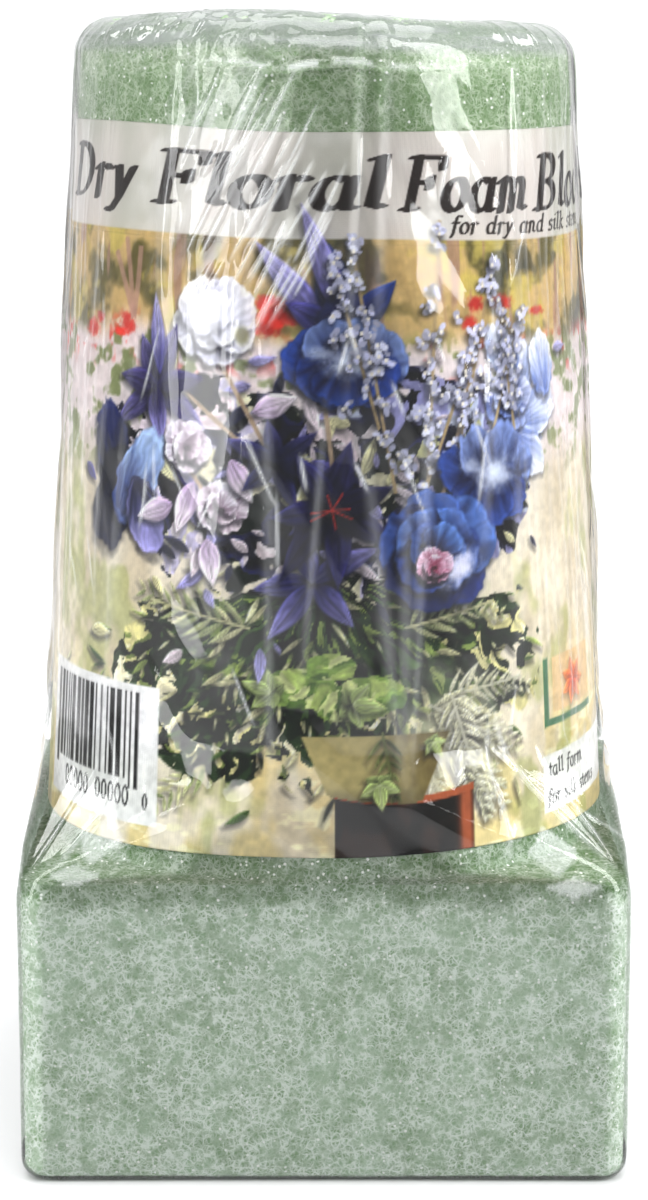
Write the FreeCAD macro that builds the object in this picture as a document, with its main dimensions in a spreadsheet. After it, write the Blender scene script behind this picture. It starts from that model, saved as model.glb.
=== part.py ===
import FreeCAD, Part

import math
import os

import Sketcher
from FreeCAD import Placement, Rotation, Vector

# A floral foam vase insert, packed for sale: a square foam block with a tapered round
# column above it, moulded as one piece, a printed paper label wrapped round the column
# and glued along one lap, and a clear shrink film sealed over everything.
# Millimetres, +Z up, origin on the floor under the middle of the block, front towards -Y.

DIMENSIONS = [
    ("block_side", 77.4, "width and depth of the square foam block"),
    ("block_top", 40.2, "height of the shoulder where the column starts"),
    ("foam_top", 148.0, "height of the top face of the foam"),
    ("column_foot_radius", 38.0, "column radius at the shoulder"),
    ("column_top_radius", 31.85, "column radius at the top face"),
    ("upright_edge_radius", 3.0, "rounding of the block's four upright edges"),
    ("foot_edge_radius", 2.5, "rounding of the block's bottom edges"),
    ("shoulder_edge_radius", 0.5, "rounding of the block's top edges"),
    ("top_edge_radius", 4.0, "rounding of the column's top edge"),
    ("label_bottom", 43.2, "height of the label's lower edge"),
    ("label_top", 133.6, "height of the label's upper edge"),
    ("label_thickness", 0.2, "thickness of the label paper"),
    ("label_gap_angle", 0.4, "opening between the inner ply's two ends"),
    ("label_step_angle", 0.8, "stretch where the label steps up on to its lap"),
    ("label_lap_angle", 18.0, "length of the lap over the first end"),
    ("label_lap_azimuth", 118.0, "direction of the lap, counted from +X"),
    ("glue_thickness", 0.1, "thickness of the glue line under the lap"),
    ("glue_margin_angle", 1.5, "bare paper on each side of the glue line"),
    ("glue_end_margin", 2.0, "bare paper above and below the glue line"),
    ("film_thickness", 0.2, "thickness of the shrink film"),
    ("film_block_gap", 0.1, "air between the film and the block's sides"),
    ("film_column_gap", 0.6, "space between foam and film where the label runs"),
    ("film_shoulder_lift", 0.1, "how far the film starts above the shoulder"),
    ("tent_top", 54.0, "height where the film's tent meets its sleeve round the column"),
    ("tent_tip_width", 4.0, "width of each flat tent panel at its tip"),
    ("seam_width", 1.0, "width of the film's weld seam"),
    ("seam_height", 0.3, "how far the weld seam stands off the film"),
    ("seam_bottom", 6.0, "height where the weld seam starts"),
    ("seam_top", 140.0, "height where the weld seam ends"),
]

BODY_AXIS = Vector(0, 0, 1)


def make_sheet(doc):
    """Put the driving dimensions in the spreadsheet that every size is bound to."""
    sheet = doc.addObject("Spreadsheet::Sheet", "dims")
    for row, (alias, value, meaning) in enumerate(DIMENSIONS, start=1):
        sheet.set(f"A{row}", meaning)
        sheet.set(f"B{row}", str(value))
        sheet.setAlias(f"B{row}", alias)
    doc.recompute()
    return sheet


doc = FreeCAD.newDocument("floral_foam_insert")
sheet = make_sheet(doc)


def number(expression):
    """Present value of a sheet expression."""
    return float(sheet.evalExpression(expression))


def origin_plane(body, role):
    """One of the body's own origin planes."""
    return next(item for item in body.Origin.OriginFeatures if item.Role == role)


def make_body(label):
    body = doc.addObject("PartDesign::Body", label)
    body.Label = label
    return body


def make_sketch(body, name, role, height=None, azimuth=None):
    """Empty sketch on an origin plane, lifted along Z or turned about Z."""
    sketch = body.newObject("Sketcher::SketchObject", name)
    sketch.AttachmentSupport = [(origin_plane(body, role), "")]
    sketch.MapMode = "FlatFace"
    if height:
        sketch.setExpression("AttachmentOffset.Base.z", height)
    if azimuth:
        sketch.AttachmentOffset = Placement(Vector(), Rotation(Vector(0, 1, 0), 1))
        sketch.setExpression("AttachmentOffset.Rotation.Angle", azimuth)
    return sketch


def constrain(sketch, *terms):
    return sketch.addConstraint(Sketcher.Constraint(*terms))


def bind(sketch, expression, *terms):
    """Add a constraint with a size and bind the size to the sheet."""
    index = constrain(sketch, *terms, number(expression))
    sketch.setExpression(f"Constraints[{index}]", expression)


def draw_polygon(sketch, corners):
    """Closed polygon whose corner coordinates are sheet expressions."""
    points = [Vector(number(x), number(y), 0) for x, y in corners]
    count = len(points)
    for i in range(count):
        sketch.addGeometry(Part.LineSegment(points[i], points[(i + 1) % count]), False)
    for i in range(count):
        constrain(sketch, "Coincident", i, 2, (i + 1) % count, 1)
    for i, (x, y) in enumerate(corners):
        if x == "0":
            constrain(sketch, "PointOnObject", i, 1, -2)
        else:
            bind(sketch, x, "DistanceX", -1, 1, i, 1)
        bind(sketch, y, "DistanceY", -1, 1, i, 1)


def draw_rounded_square(sketch, half_side, radius):
    """Square with rounded corners about the origin: side, corner, side, corner and so on."""
    half = number(half_side)
    round_radius = number(radius)
    inner = half - round_radius
    for quarter in range(4):
        turn = Rotation(BODY_AXIS, 90 * quarter)
        start = turn.multVec(Vector(half, -inner, 0))
        end = turn.multVec(Vector(half, inner, 0))
        centre = turn.multVec(Vector(inner, inner, 0))
        corner = Part.Circle(centre, BODY_AXIS, round_radius)
        first_angle = math.radians(90 * quarter)
        sketch.addGeometry(Part.LineSegment(start, end), False)
        sketch.addGeometry(Part.ArcOfCircle(corner, first_angle, first_angle + math.pi / 2), False)
    for i in range(8):
        constrain(sketch, "Tangent", i, 2, (i + 1) % 8, 1)
    for side, direction in ((0, "Vertical"), (2, "Horizontal"), (4, "Vertical"), (6, "Horizontal")):
        constrain(sketch, direction, side)
    for other_corner in (3, 5, 7):
        constrain(sketch, "Equal", 1, other_corner)
    bind(sketch, radius, "Radius", 1)
    bind(sketch, half_side, "DistanceX", -1, 1, 0, 1)
    bind(sketch, half_side, "DistanceY", -1, 1, 2, 1)
    bind(sketch, f"-({half_side})", "DistanceX", -1, 1, 4, 1)
    bind(sketch, f"-({half_side})", "DistanceY", -1, 1, 6, 1)


def draw_split_circle(sketch, radius, tip_width):
    """Circle about the origin in eight arcs, short ones on the axes and long ones between."""
    size = number(radius)
    half_tip = math.asin(number(tip_width) / 2 / size)
    circle = Part.Circle(Vector(), BODY_AXIS, size)
    for quarter in range(4):
        axis_angle = quarter * math.pi / 2
        next_angle = axis_angle + math.pi / 2
        sketch.addGeometry(Part.ArcOfCircle(circle, axis_angle - half_tip, axis_angle + half_tip), False)
        sketch.addGeometry(Part.ArcOfCircle(circle, axis_angle + half_tip, next_angle - half_tip), False)
    for i in range(8):
        constrain(sketch, "Coincident", i, 3, -1, 1)
    for i in range(7):
        constrain(sketch, "Coincident", i, 2, i + 1, 1)
    constrain(sketch, "Horizontal", 7, 2, 0, 1)
    bind(sketch, radius, "Radius", 0)
    half_width = f"({tip_width}) / 2"
    tips = [(0, "DistanceY", False), (2, "DistanceX", True), (4, "DistanceY", True), (6, "DistanceX", False)]
    for arc, direction, runs_down in tips:
        first, last = f"-{half_width}", half_width
        if runs_down:
            first, last = last, first
        bind(sketch, first, direction, -1, 1, arc, 1)
        bind(sketch, last, direction, -1, 1, arc, 2)


def pad(body, sketch, length, midplane=False):
    feature = body.newObject("PartDesign::Pad", f"{sketch.Label}_pad")
    feature.Profile = sketch
    feature.Midplane = midplane
    feature.setExpression("Length", length)
    doc.recompute()
    return feature


def revolve(body, sketch, angle="360"):
    """Revolve about the vertical axis, half the angle to each side of the sketch."""
    feature = body.newObject("PartDesign::Revolution", f"{sketch.Label}_revolution")
    feature.Profile = sketch
    feature.ReferenceAxis = (sketch, ["V_Axis"])
    feature.Midplane = True
    feature.setExpression("Angle", angle)
    doc.recompute()
    return feature


def loft(body, lower, upper):
    feature = body.newObject("PartDesign::AdditiveLoft", f"{lower.Label}_loft")
    feature.Profile = lower
    feature.Sections = [(upper, [""])]
    feature.Ruled = True
    doc.recompute()
    return feature


def fillet(body, name, radius, wanted):
    """Round the edges of the body's tip that the given test picks."""
    base = body.Tip
    edges = base.Shape.Edges
    names = [f"Edge{i}" for i, edge in enumerate(edges, start=1) if wanted(edge.BoundBox)]
    feature = body.newObject("PartDesign::Fillet", name)
    feature.Base = (base, names)
    feature.setExpression("Radius", radius)
    doc.recompute()
    return feature


def lies_at(height, reach=0.0):
    """Test for flat edges at a height that go further out than the given reach."""
    def test(box):
        level = abs(box.ZMin - height) < 1e-4 and abs(box.ZMax - height) < 1e-4
        furthest = max(abs(box.XMin), abs(box.XMax), abs(box.YMin), abs(box.YMax))
        return level and furthest > reach
    return test


def column_radius(height, offset="0"):
    """Expression for the column's radius at a height, with the surface moved outwards."""
    fall = "(dims.column_foot_radius - dims.column_top_radius) / (dims.foam_top - dims.block_top)"
    return f"dims.column_foot_radius + ({offset}) - ({height} - dims.block_top) * {fall}"


def make_foam():
    """Block and column in one moulded piece, standing on the film."""
    body = make_body("foam_block")
    bottom = "dims.film_thickness"
    footprint = make_sketch(body, "block_footprint", "XY_Plane", height=bottom)
    draw_rounded_square(footprint, "dims.block_side / 2", "dims.upright_edge_radius")
    pad(body, footprint, f"dims.block_top - {bottom}")
    fillet(body, "foot_rounding", "dims.foot_edge_radius", lies_at(number(bottom)))
    fillet(body, "shoulder_rounding", "dims.shoulder_edge_radius", lies_at(number("dims.block_top")))
    profile = make_sketch(body, "column_profile", "XZ_Plane")
    draw_polygon(profile, [
        ("0", "dims.block_top"),
        (column_radius("dims.block_top"), "dims.block_top"),
        (column_radius("dims.foam_top"), "dims.foam_top"),
        ("0", "dims.foam_top"),
    ])
    revolve(body, profile)
    fillet(body, "top_rounding", "dims.top_edge_radius", lies_at(number("dims.foam_top")))
    return body


def make_cone_strip(body, name, inner, outer, bottom, top, azimuth, angle):
    """Part of a conical layer round the column, between two offsets and two heights."""
    sketch = make_sketch(body, name, "XZ_Plane", azimuth=azimuth)
    draw_polygon(sketch, [
        (column_radius(bottom, inner), bottom),
        (column_radius(bottom, outer), bottom),
        (column_radius(top, outer), top),
        (column_radius(top, inner), top),
    ])
    return revolve(body, sketch, angle)


def turn_to_lap(body):
    """Turn a body so that its own -X direction points to the label's lap."""
    body.Placement = Placement(Vector(), Rotation(BODY_AXIS, number("dims.label_lap_azimuth") - 180))


def make_label():
    """Paper strip wrapped once round the column, its second end stepping up over the first."""
    body = make_body("paper_label")
    bottom, top = "dims.label_bottom", "dims.label_top"
    paper = "dims.label_thickness"
    lap_floor = f"{paper} + dims.glue_thickness"
    lap_face = f"{lap_floor} + {paper}"
    make_cone_strip(body, "inner_ply", "0", paper, bottom, top, None, "360 - dims.label_gap_angle")
    make_cone_strip(
        body, "step", "0", lap_face, bottom, top,
        "180 - (dims.label_gap_angle + dims.label_step_angle) / 2", "dims.label_step_angle",
    )
    make_cone_strip(
        body, "lap", lap_floor, lap_face, bottom, top,
        "180 - dims.label_gap_angle + dims.label_lap_angle / 2",
        "dims.label_lap_angle + dims.label_gap_angle",
    )
    turn_to_lap(body)
    return body


def make_glue():
    """Thin line of glue that holds the label's lap down on its first end."""
    body = make_body("label_glue")
    make_cone_strip(
        body, "glue_line", "dims.label_thickness", "dims.label_thickness + dims.glue_thickness",
        "(dims.label_bottom + dims.glue_end_margin)", "(dims.label_top - dims.glue_end_margin)",
        "180 + dims.label_lap_angle / 2", "dims.label_lap_angle - 2 * dims.glue_margin_angle",
    )
    turn_to_lap(body)
    return body


def film_side(offset):
    """Expression for half the film's width at the block, its inner face moved out by an offset."""
    return f"dims.block_side / 2 + dims.film_block_gap + {offset}"


def film_column_offset(offset):
    """Expression for how far the film stands off the foam column."""
    return f"dims.film_column_gap + {offset}"


def film_shoulder(offset):
    """Expression for the height where the film bends in over the block's shoulder."""
    return f"(dims.block_top + dims.film_shoulder_lift + {offset} / 2)"


def make_foot_envelope(label, offset):
    """Convex outline round the block and the tent above it, open to be met by the sleeve."""
    body = make_body(label)
    half_side = film_side(offset)
    upright_radius = f"dims.upright_edge_radius + dims.film_block_gap + {offset}"
    floor = f"(dims.film_thickness - {offset})"
    shoulder = film_shoulder(offset)
    meeting = "dims.tent_top"

    footprint = make_sketch(body, f"{label}_footprint", "XY_Plane", height=floor)
    draw_rounded_square(footprint, half_side, upright_radius)
    pad(body, footprint, f"{shoulder} - {floor}")
    foot_radius = f"dims.foot_edge_radius + dims.film_block_gap + {offset}"
    fillet(body, f"{label}_foot_rounding", foot_radius, lies_at(number(floor)))

    square = make_sketch(body, f"{label}_tent_foot", "XY_Plane", height=shoulder)
    draw_rounded_square(square, half_side, upright_radius)
    circle = make_sketch(body, f"{label}_tent_head", "XY_Plane", height=meeting)
    draw_split_circle(circle, column_radius(meeting, film_column_offset(offset)), "dims.tent_tip_width")
    loft(body, square, circle)
    return body


def make_sleeve_envelope(label, offset):
    """Conical outline round the column from the tent up, with its top edge rounded."""
    body = make_body(label)
    standing_off = film_column_offset(offset)
    ceiling = f"(dims.foam_top + {offset})"
    profile = make_sketch(body, f"{label}_profile", "XZ_Plane")
    draw_polygon(profile, [
        ("0", "dims.tent_top"),
        (column_radius("dims.tent_top", standing_off), "dims.tent_top"),
        (column_radius(ceiling, standing_off), ceiling),
        ("0", ceiling),
    ])
    revolve(body, profile)
    fillet(body, f"{label}_top_rounding", f"dims.top_edge_radius + {offset}", lies_at(number(ceiling)))
    return body


def add_seam(body, name, course):
    """Stretch of the film's weld seam, a low rib up the middle of the back.

    The course lists the film's outer face from the bottom up, as a function of how far
    the rib's face stands off it, with each point's height.
    """
    proud = "dims.seam_height"
    buried = "-dims.film_thickness / 2"
    face = [(reach(proud), height) for reach, height in course]
    root = [(reach(buried), height) for reach, height in reversed(course)]
    seam = make_sketch(body, name, "YZ_Plane")
    draw_polygon(seam, face + root)
    pad(body, seam, "dims.seam_width", midplane=True)


def at_side(proud):
    return f"{film_side('dims.film_thickness')} + {proud}"


def at_column(height):
    """The film's outer face at the column, as a function of how far a point stands off it."""
    def reach(proud):
        return column_radius(height, f"{film_column_offset('dims.film_thickness')} + {proud}")
    return reach


def cut(label, base, tool):
    feature = doc.addObject("Part::Cut", label)
    feature.Label = label
    feature.Base = base
    feature.Tool = tool
    doc.recompute()
    return feature


def make_film():
    """Closed skin of shrink film, made as two shells that meet at the ring where the tent ends.

    Each shell's outline is convex, so the waist above the block stays clear in collision.
    """
    thickness = "dims.film_thickness"
    foot_outside = make_foot_envelope("film_foot_outside", thickness)
    add_seam(foot_outside, "foot_seam", [
        (at_side, "dims.seam_bottom"),
        (at_side, film_shoulder(thickness)),
        (at_column("dims.tent_top"), "dims.tent_top"),
    ])
    sleeve_outside = make_sleeve_envelope("film_sleeve_outside", thickness)
    add_seam(sleeve_outside, "sleeve_seam", [
        (at_column("dims.tent_top"), "dims.tent_top"),
        (at_column("dims.seam_top"), "dims.seam_top"),
    ])
    foot = cut("film_foot", foot_outside, make_foot_envelope("film_foot_inside", "0"))
    sleeve = cut("film_sleeve", sleeve_outside, make_sleeve_envelope("film_sleeve_inside", "0"))
    film = doc.addObject("Part::Compound", "shrink_film")
    film.Label = "shrink_film"
    film.Links = [foot, sleeve]
    doc.recompute()
    return film


def check_document():
    """Stop if any object of the document failed to build."""
    for item in doc.Objects:
        bad_states = [state for state in item.State if state in ("Invalid", "Error")]
        if bad_states:
            raise RuntimeError(f"{item.Name}: {bad_states}")


def check_shape(item, solid_count):
    """Stop if a sub-part isn't valid or isn't the number of solids that it should be."""
    shape = item.Shape
    if shape.isNull() or not shape.isValid() or len(shape.Solids) != solid_count:
        raise RuntimeError(f"{item.Label} is not {solid_count} valid solids")


single_pieces = [make_foam(), make_label(), make_glue()]
film_shells = make_film()
doc.recompute()
check_document()
for piece in single_pieces:
    check_shape(piece, 1)
check_shape(film_shells, 2)
sub_parts = [*single_pieces, film_shells]

os.makedirs("parts", exist_ok=True)
for sub_part in sub_parts:
    sub_part.Shape.exportStep(f"parts/{sub_part.Label}.step")
    box = sub_part.Shape.BoundBox
    size = f"{box.XLength:.2f} x {box.YLength:.2f} x {box.ZLength:.2f} mm"
    print(f"{sub_part.Label}: {size}, {sub_part.Shape.Volume:.1f} mm3")
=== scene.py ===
import math

import bpy
import numpy as np
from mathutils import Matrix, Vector


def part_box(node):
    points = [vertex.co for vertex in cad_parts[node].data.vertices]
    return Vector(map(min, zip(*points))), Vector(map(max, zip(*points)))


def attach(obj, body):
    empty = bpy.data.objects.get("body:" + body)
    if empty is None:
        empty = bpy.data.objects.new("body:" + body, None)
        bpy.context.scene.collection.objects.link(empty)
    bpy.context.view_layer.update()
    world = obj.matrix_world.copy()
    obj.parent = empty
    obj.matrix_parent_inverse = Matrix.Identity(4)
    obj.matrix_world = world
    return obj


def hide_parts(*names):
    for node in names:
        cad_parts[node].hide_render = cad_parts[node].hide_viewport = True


# The looks of a shrink-wrapped floral foam insert: the foam with its cells, the printed
# paper label with its lap, and the clear film with its wrinkles and folds.
# Metres in the frame, millimetres (MM) for the details. Azimuths are degrees from the
# front (-Y), positive towards +X.

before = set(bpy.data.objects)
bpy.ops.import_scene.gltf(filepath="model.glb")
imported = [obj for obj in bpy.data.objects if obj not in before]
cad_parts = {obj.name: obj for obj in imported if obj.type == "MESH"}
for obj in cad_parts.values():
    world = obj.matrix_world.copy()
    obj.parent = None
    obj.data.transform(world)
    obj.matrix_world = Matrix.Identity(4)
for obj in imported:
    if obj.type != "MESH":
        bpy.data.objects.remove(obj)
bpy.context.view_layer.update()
MM = 0.001


# ---------------------------------------------------------------- sizes from the frame

def node_points(node):
    """Corner points of a CAD node's mesh, one row each."""
    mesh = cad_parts[node].data
    points = np.empty(len(mesh.vertices) * 3)
    mesh.vertices.foreach_get("co", points)
    return points.reshape(-1, 3)


FOAM_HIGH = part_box("foam_block")[1]
LABEL_LOW, LABEL_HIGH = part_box("paper_label")

label_points = node_points("paper_label")
label_reach = np.hypot(label_points[:, 0], label_points[:, 1])
near_foot = label_points[:, 2] < LABEL_LOW.z + 0.01 * MM
near_head = label_points[:, 2] > LABEL_HIGH.z - 0.01 * MM
FOOT_RADIUS = label_reach[near_foot].min()
HEAD_RADIUS = label_reach[near_head].min()
LABEL_HEIGHT = LABEL_HIGH.z - LABEL_LOW.z
TAPER = (FOOT_RADIUS - HEAD_RADIUS) / LABEL_HEIGHT
MIDDLE_RADIUS = (FOOT_RADIUS + HEAD_RADIUS) / 2

BLOCK_HALF = FOAM_HIGH.x
foam_points = node_points("foam_block")
on_block_side = np.abs(foam_points[:, 0]) > BLOCK_HALF - 0.01 * MM
SHOULDER_EDGE = 0.5 * MM
SHOULDER = foam_points[on_block_side, 2].max() + SHOULDER_EDGE


def column_radius(height, offset=0.0):
    """Radius of the foam column at a height, with the surface moved outwards."""
    return FOOT_RADIUS - (height - LABEL_LOW.z) * TAPER + offset


PAPER = 0.2 * MM
LAP_RISE = 0.3 * MM
FILM_OFFSET = 0.72 * MM
FILM_SIDE = 0.42 * MM
TENT_TOP = SHOULDER + 13.8 * MM


# ---------------------------------------------------------------- small helpers

def smooth_step(value, low, high):
    t = np.clip((value - low) / (high - low), 0.0, 1.0)
    return t * t * (3.0 - 2.0 * t)


def mix(first, second, share):
    """Blend two colours by an array of shares."""
    share = np.asarray(share)[..., None]
    return np.asarray(first) * (1.0 - share) + np.asarray(second) * share


def cloud(x, y, size, seed):
    """Smooth random field from 0 to 1 with features of the given size."""
    table = np.random.RandomState(seed).rand(64, 64)
    gx, gy = x / size, y / size
    ix, iy = np.floor(gx).astype(int), np.floor(gy).astype(int)
    fx, fy = gx - ix, gy - iy
    fx, fy = fx * fx * (3 - 2 * fx), fy * fy * (3 - 2 * fy)
    corner = lambda dx, dy: table[(iy + dy) % 64, (ix + dx) % 64]
    low = corner(0, 0) * (1 - fx) + corner(1, 0) * fx
    high = corner(0, 1) * (1 - fx) + corner(1, 1) * fx
    return low * (1 - fy) + high * fy


def clouds(x, y, size, seed, layers=3):
    """Several cloud fields of halving size added up, from about 0 to 1."""
    total, weight = 0.0, 0.0
    for layer in range(layers):
        share = 0.5 ** layer
        total = total + share * cloud(x, y, size * share, seed + layer)
        weight += share
    return total / weight


def new_piece(name, points, faces, material, smooth=True):
    """Mesh object from points and faces, riding on the frame."""
    mesh = bpy.data.meshes.new(name)
    mesh.from_pydata([], [], [])
    count = len(faces)
    corners = len(faces[0])
    mesh.vertices.add(len(points))
    mesh.vertices.foreach_set("co", np.asarray(points, np.float32).ravel())
    mesh.loops.add(count * corners)
    mesh.loops.foreach_set("vertex_index", np.asarray(faces, np.int32).ravel())
    mesh.polygons.add(count)
    mesh.polygons.foreach_set("loop_start", np.arange(0, count * corners, corners, dtype=np.int32))
    mesh.update(calc_edges=True)
    mesh.validate()
    mesh.polygons.foreach_set("use_smooth", np.full(len(mesh.polygons), smooth))
    piece = bpy.data.objects.new(name, mesh)
    bpy.context.scene.collection.objects.link(piece)
    mesh.materials.append(material)
    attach(piece, "root")
    return piece


def grid_faces(rows, columns, closed):
    """Quads of a grid of points stored row by row, wrapped round if closed."""
    last = columns if closed else columns - 1
    row, column = np.meshgrid(np.arange(rows - 1), np.arange(last), indexing="ij")
    following = (column + 1) % columns
    return np.stack([
        row * columns + column, row * columns + following,
        (row + 1) * columns + following, (row + 1) * columns + column,
    ], axis=-1).reshape(-1, 4)


def srgb_to_linear(colour):
    colour = np.clip(colour, 0.0, 1.0)
    return np.where(colour <= 0.04045, colour / 12.92, ((colour + 0.055) / 1.055) ** 2.4)


def rgb(red, green, blue):
    """Colour as 0 to 255 screen values, kept as shares of one."""
    return np.array([red, green, blue]) / 255.0


# ---------------------------------------------------------------- materials

class Graph:
    """A node tree, built up node by node."""

    def __init__(self, tree):
        self.tree = tree

    def add(self, kind, inputs=None, **settings):
        """New node. Its inputs go by name or number, each a socket or a fixed value."""
        node = self.tree.nodes.new(kind)
        for key, value in settings.items():
            setattr(node, key, value)
        for key, value in (inputs or {}).items():
            if isinstance(value, bpy.types.NodeSocket):
                self.tree.links.new(value, node.inputs[key])
            else:
                node.inputs[key].default_value = value
        return node

    def show(self, kind, inputs):
        """Make a shader the look of the surface."""
        shader = self.add(kind, inputs)
        self.add("ShaderNodeOutputMaterial", {"Surface": shader.outputs[0]})

    def attribute(self, name, output):
        return self.add("ShaderNodeAttribute", attribute_name=name).outputs[output]

    def object_place(self):
        return self.add("ShaderNodeTexCoord").outputs["Object"]

    def height(self, place):
        return self.add("ShaderNodeSeparateXYZ", {0: place}).outputs["Z"]

    def math(self, operation, *values):
        """Arithmetic on inputs, each a socket or a number."""
        return self.add("ShaderNodeMath", dict(enumerate(values)), operation=operation).outputs[0]

    def vector_math(self, operation, inputs):
        return self.add("ShaderNodeVectorMath", inputs, operation=operation).outputs[0]

    def span(self, value, start, end, high=1.0):
        """Straight run of a value from 0 to high, on to the range from start to end."""
        inputs = {"Value": value, "From Max": high, "To Min": start, "To Max": end}
        return self.add("ShaderNodeMapRange", inputs).outputs["Result"]

    def step(self, value, low, high, start=0.0, end=1.0):
        """Smooth step of a value from low to high, running from start to end."""
        inputs = {"Value": value, "From Min": low, "From Max": high, "To Min": start, "To Max": end}
        return self.add("ShaderNodeMapRange", inputs, interpolation_type="SMOOTHSTEP").outputs["Result"]

    def noise(self, place, size, detail=2.0, roughness=0.5, output="Fac"):
        inputs = {"Vector": place, "Scale": 1.0 / size, "Detail": detail, "Roughness": roughness}
        return self.add("ShaderNodeTexNoise", inputs).outputs[output]

    def cells(self, place, size, feature="F1", randomness=1.0):
        inputs = {"Vector": place, "Scale": 1.0 / size, "Randomness": randomness}
        return self.add("ShaderNodeTexVoronoi", inputs, feature=feature)

    def walls(self, place, size, width):
        """Closeness to the walls between cells of a size, 0 to 1."""
        cells = self.cells(place, size, "DISTANCE_TO_EDGE")
        return self.step(cells.outputs["Distance"], 0.0, width, 1.0, 0.0)

    def warped(self, place, size, push):
        """Coordinates pushed about by a noise, so cells come out uneven."""
        warp = self.noise(place, size, output="Color")
        centred = self.vector_math("SUBTRACT", {0: warp, 1: (0.5, 0.5, 0.5)})
        scaled = self.vector_math("SCALE", {0: centred, "Scale": push})
        return self.vector_math("ADD", {0: place, 1: scaled})

    def blend(self, share, first, second, blend_type="MIX"):
        """Mix of two colours, each a socket or a fixed colour."""
        inputs = {0: share, 6: first, 7: second}
        return self.add("ShaderNodeMix", inputs, data_type="RGBA", blend_type=blend_type).outputs[2]

    def bump(self, height, strength, distance):
        inputs = {"Height": height, "Strength": strength, "Distance": distance}
        return self.add("ShaderNodeBump", inputs).outputs["Normal"]


def new_material(name):
    material = bpy.data.materials.new(name)
    material.use_nodes = True
    material.node_tree.nodes.clear()
    return material, Graph(material.node_tree)


def linear(colour):
    return (*[float(c) for c in srgb_to_linear(colour)], 1.0)


def srgb(red, green, blue):
    """Colour for a node, from 0 to 255 screen values."""
    return linear(rgb(red, green, blue))


def foam_material():
    """Crushed open-cell foam: pale curly strands and specks over green hollows."""
    material, graph = new_material("foam_cells")
    place = graph.attribute("place", "Vector")
    uneven = graph.warped(place, 0.9 * MM, 1.0 * MM)
    coarse = graph.walls(uneven, 1.05 * MM, 0.20)
    fine = graph.math("MULTIPLY", graph.walls(uneven, 0.50 * MM, 0.24), 0.7)
    strands = graph.math("MAXIMUM", coarse, fine)
    frosted = graph.step(graph.noise(place, 1.9 * MM, 5.0, 0.72), 0.36, 0.60, 0.22, 1.0)
    dusty = graph.step(graph.noise(place, 2.6 * MM, 3.0, 0.6), 0.35, 0.68, 0.08, 0.22)
    lit = graph.math("ADD", graph.math("MULTIPLY", strands, frosted), dusty)

    # Painted shade darkens the foam on the block's shoulder just below the label; just above the label the
    # foam is made darker too, fading upwards.
    patches = graph.noise(place, 5.0 * MM, 3.0)
    height = graph.height(place)
    level = graph.math("ADD", height, graph.math("MULTIPLY_ADD", patches, 7.0 * MM, -3.5 * MM))
    over_label = graph.step(level, LABEL_HIGH.z - 3 * MM, LABEL_HIGH.z)
    fading_up = graph.step(level, LABEL_HIGH.z + 3 * MM, LABEL_HIGH.z + 12 * MM, 1.0, 0.35)
    above = graph.math("MULTIPLY", over_label, fading_up)
    over_block = graph.step(level, SHOULDER - 5 * MM, SHOULDER - 1 * MM)
    under_label = graph.step(level, LABEL_LOW.z + 8 * MM, LABEL_LOW.z + 10 * MM, 1.0, 0.0)
    below = graph.math("MULTIPLY", over_block, under_label)
    darker_near_label = graph.math("MAXIMUM", above, below)

    high = graph.step(height, SHOULDER + 4 * MM, LABEL_HIGH.z, 0.0, 0.75)
    green = graph.blend(graph.step(patches, 0.38, 0.62), srgb(126, 160, 114), srgb(152, 182, 146))
    green = graph.blend(high, green, srgb(144, 176, 122))
    green = graph.blend(above, green, srgb(100, 136, 80))
    # Painted shade: darker green on the foam just below the label.
    green = graph.blend(below, green, srgb(70, 112, 44))
    lit = graph.math("MULTIPLY", lit, graph.step(darker_near_label, 0.0, 1.0, 1.0, 0.50))
    pale = graph.blend(high, srgb(232, 240, 233), srgb(232, 240, 222))
    colour = graph.blend(lit, green, pale)
    # Painted shade: the foam over the top and its rounded edge is made darker.
    painted_shade_on_top = graph.step(height, FOAM_HIGH.z - 5.0 * MM, FOAM_HIGH.z - 2.0 * MM, 0.0, 0.6)
    colour = graph.blend(painted_shade_on_top, colour, srgb(118, 140, 112))

    # White specks: pale granules of the foam, partly painted glints on its cells.
    speck = graph.cells(place, 0.70 * MM)
    pick = graph.add("ShaderNodeSeparateColor", {"Color": speck.outputs["Color"]}).outputs[0]
    chosen = graph.math("GREATER_THAN", pick, 0.88)
    near = graph.step(speck.outputs["Distance"], 0.20, 0.34, 1.0, 0.0)
    colour = graph.blend(graph.math("MULTIPLY", chosen, near), colour, srgb(250, 253, 250))
    graph.show("ShaderNodeBsdfPrincipled", {
        "Base Color": colour, "Normal": graph.bump(strands, 0.55, 0.22 * MM), "Roughness": 0.6, "IOR": 1.35,
        "Subsurface Weight": 0.2, "Subsurface Radius": (0.9, 1.0, 0.9), "Subsurface Scale": 0.7 * MM,
    })
    return material


def print_material():
    """Printed paper: the painted colours with halftone dots, paper grain and a soft coat."""
    material, graph = new_material("label_print")
    place = graph.object_place()
    dots = graph.cells(place, 0.24 * MM, randomness=0.25).outputs["Distance"]
    printed = graph.attribute("print", "Color")
    toned = graph.blend(1.0, printed, graph.span(dots, 0.9, 1.07, high=0.9), "MULTIPLY")
    graph.show("ShaderNodeBsdfPrincipled", {
        "Base Color": toned, "Normal": graph.bump(graph.noise(place, 0.35 * MM, 3.0), 0.15, 0.02 * MM),
        "Roughness": 0.5, "IOR": 1.45, "Specular IOR Level": 0.15,
    })
    return material


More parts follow.
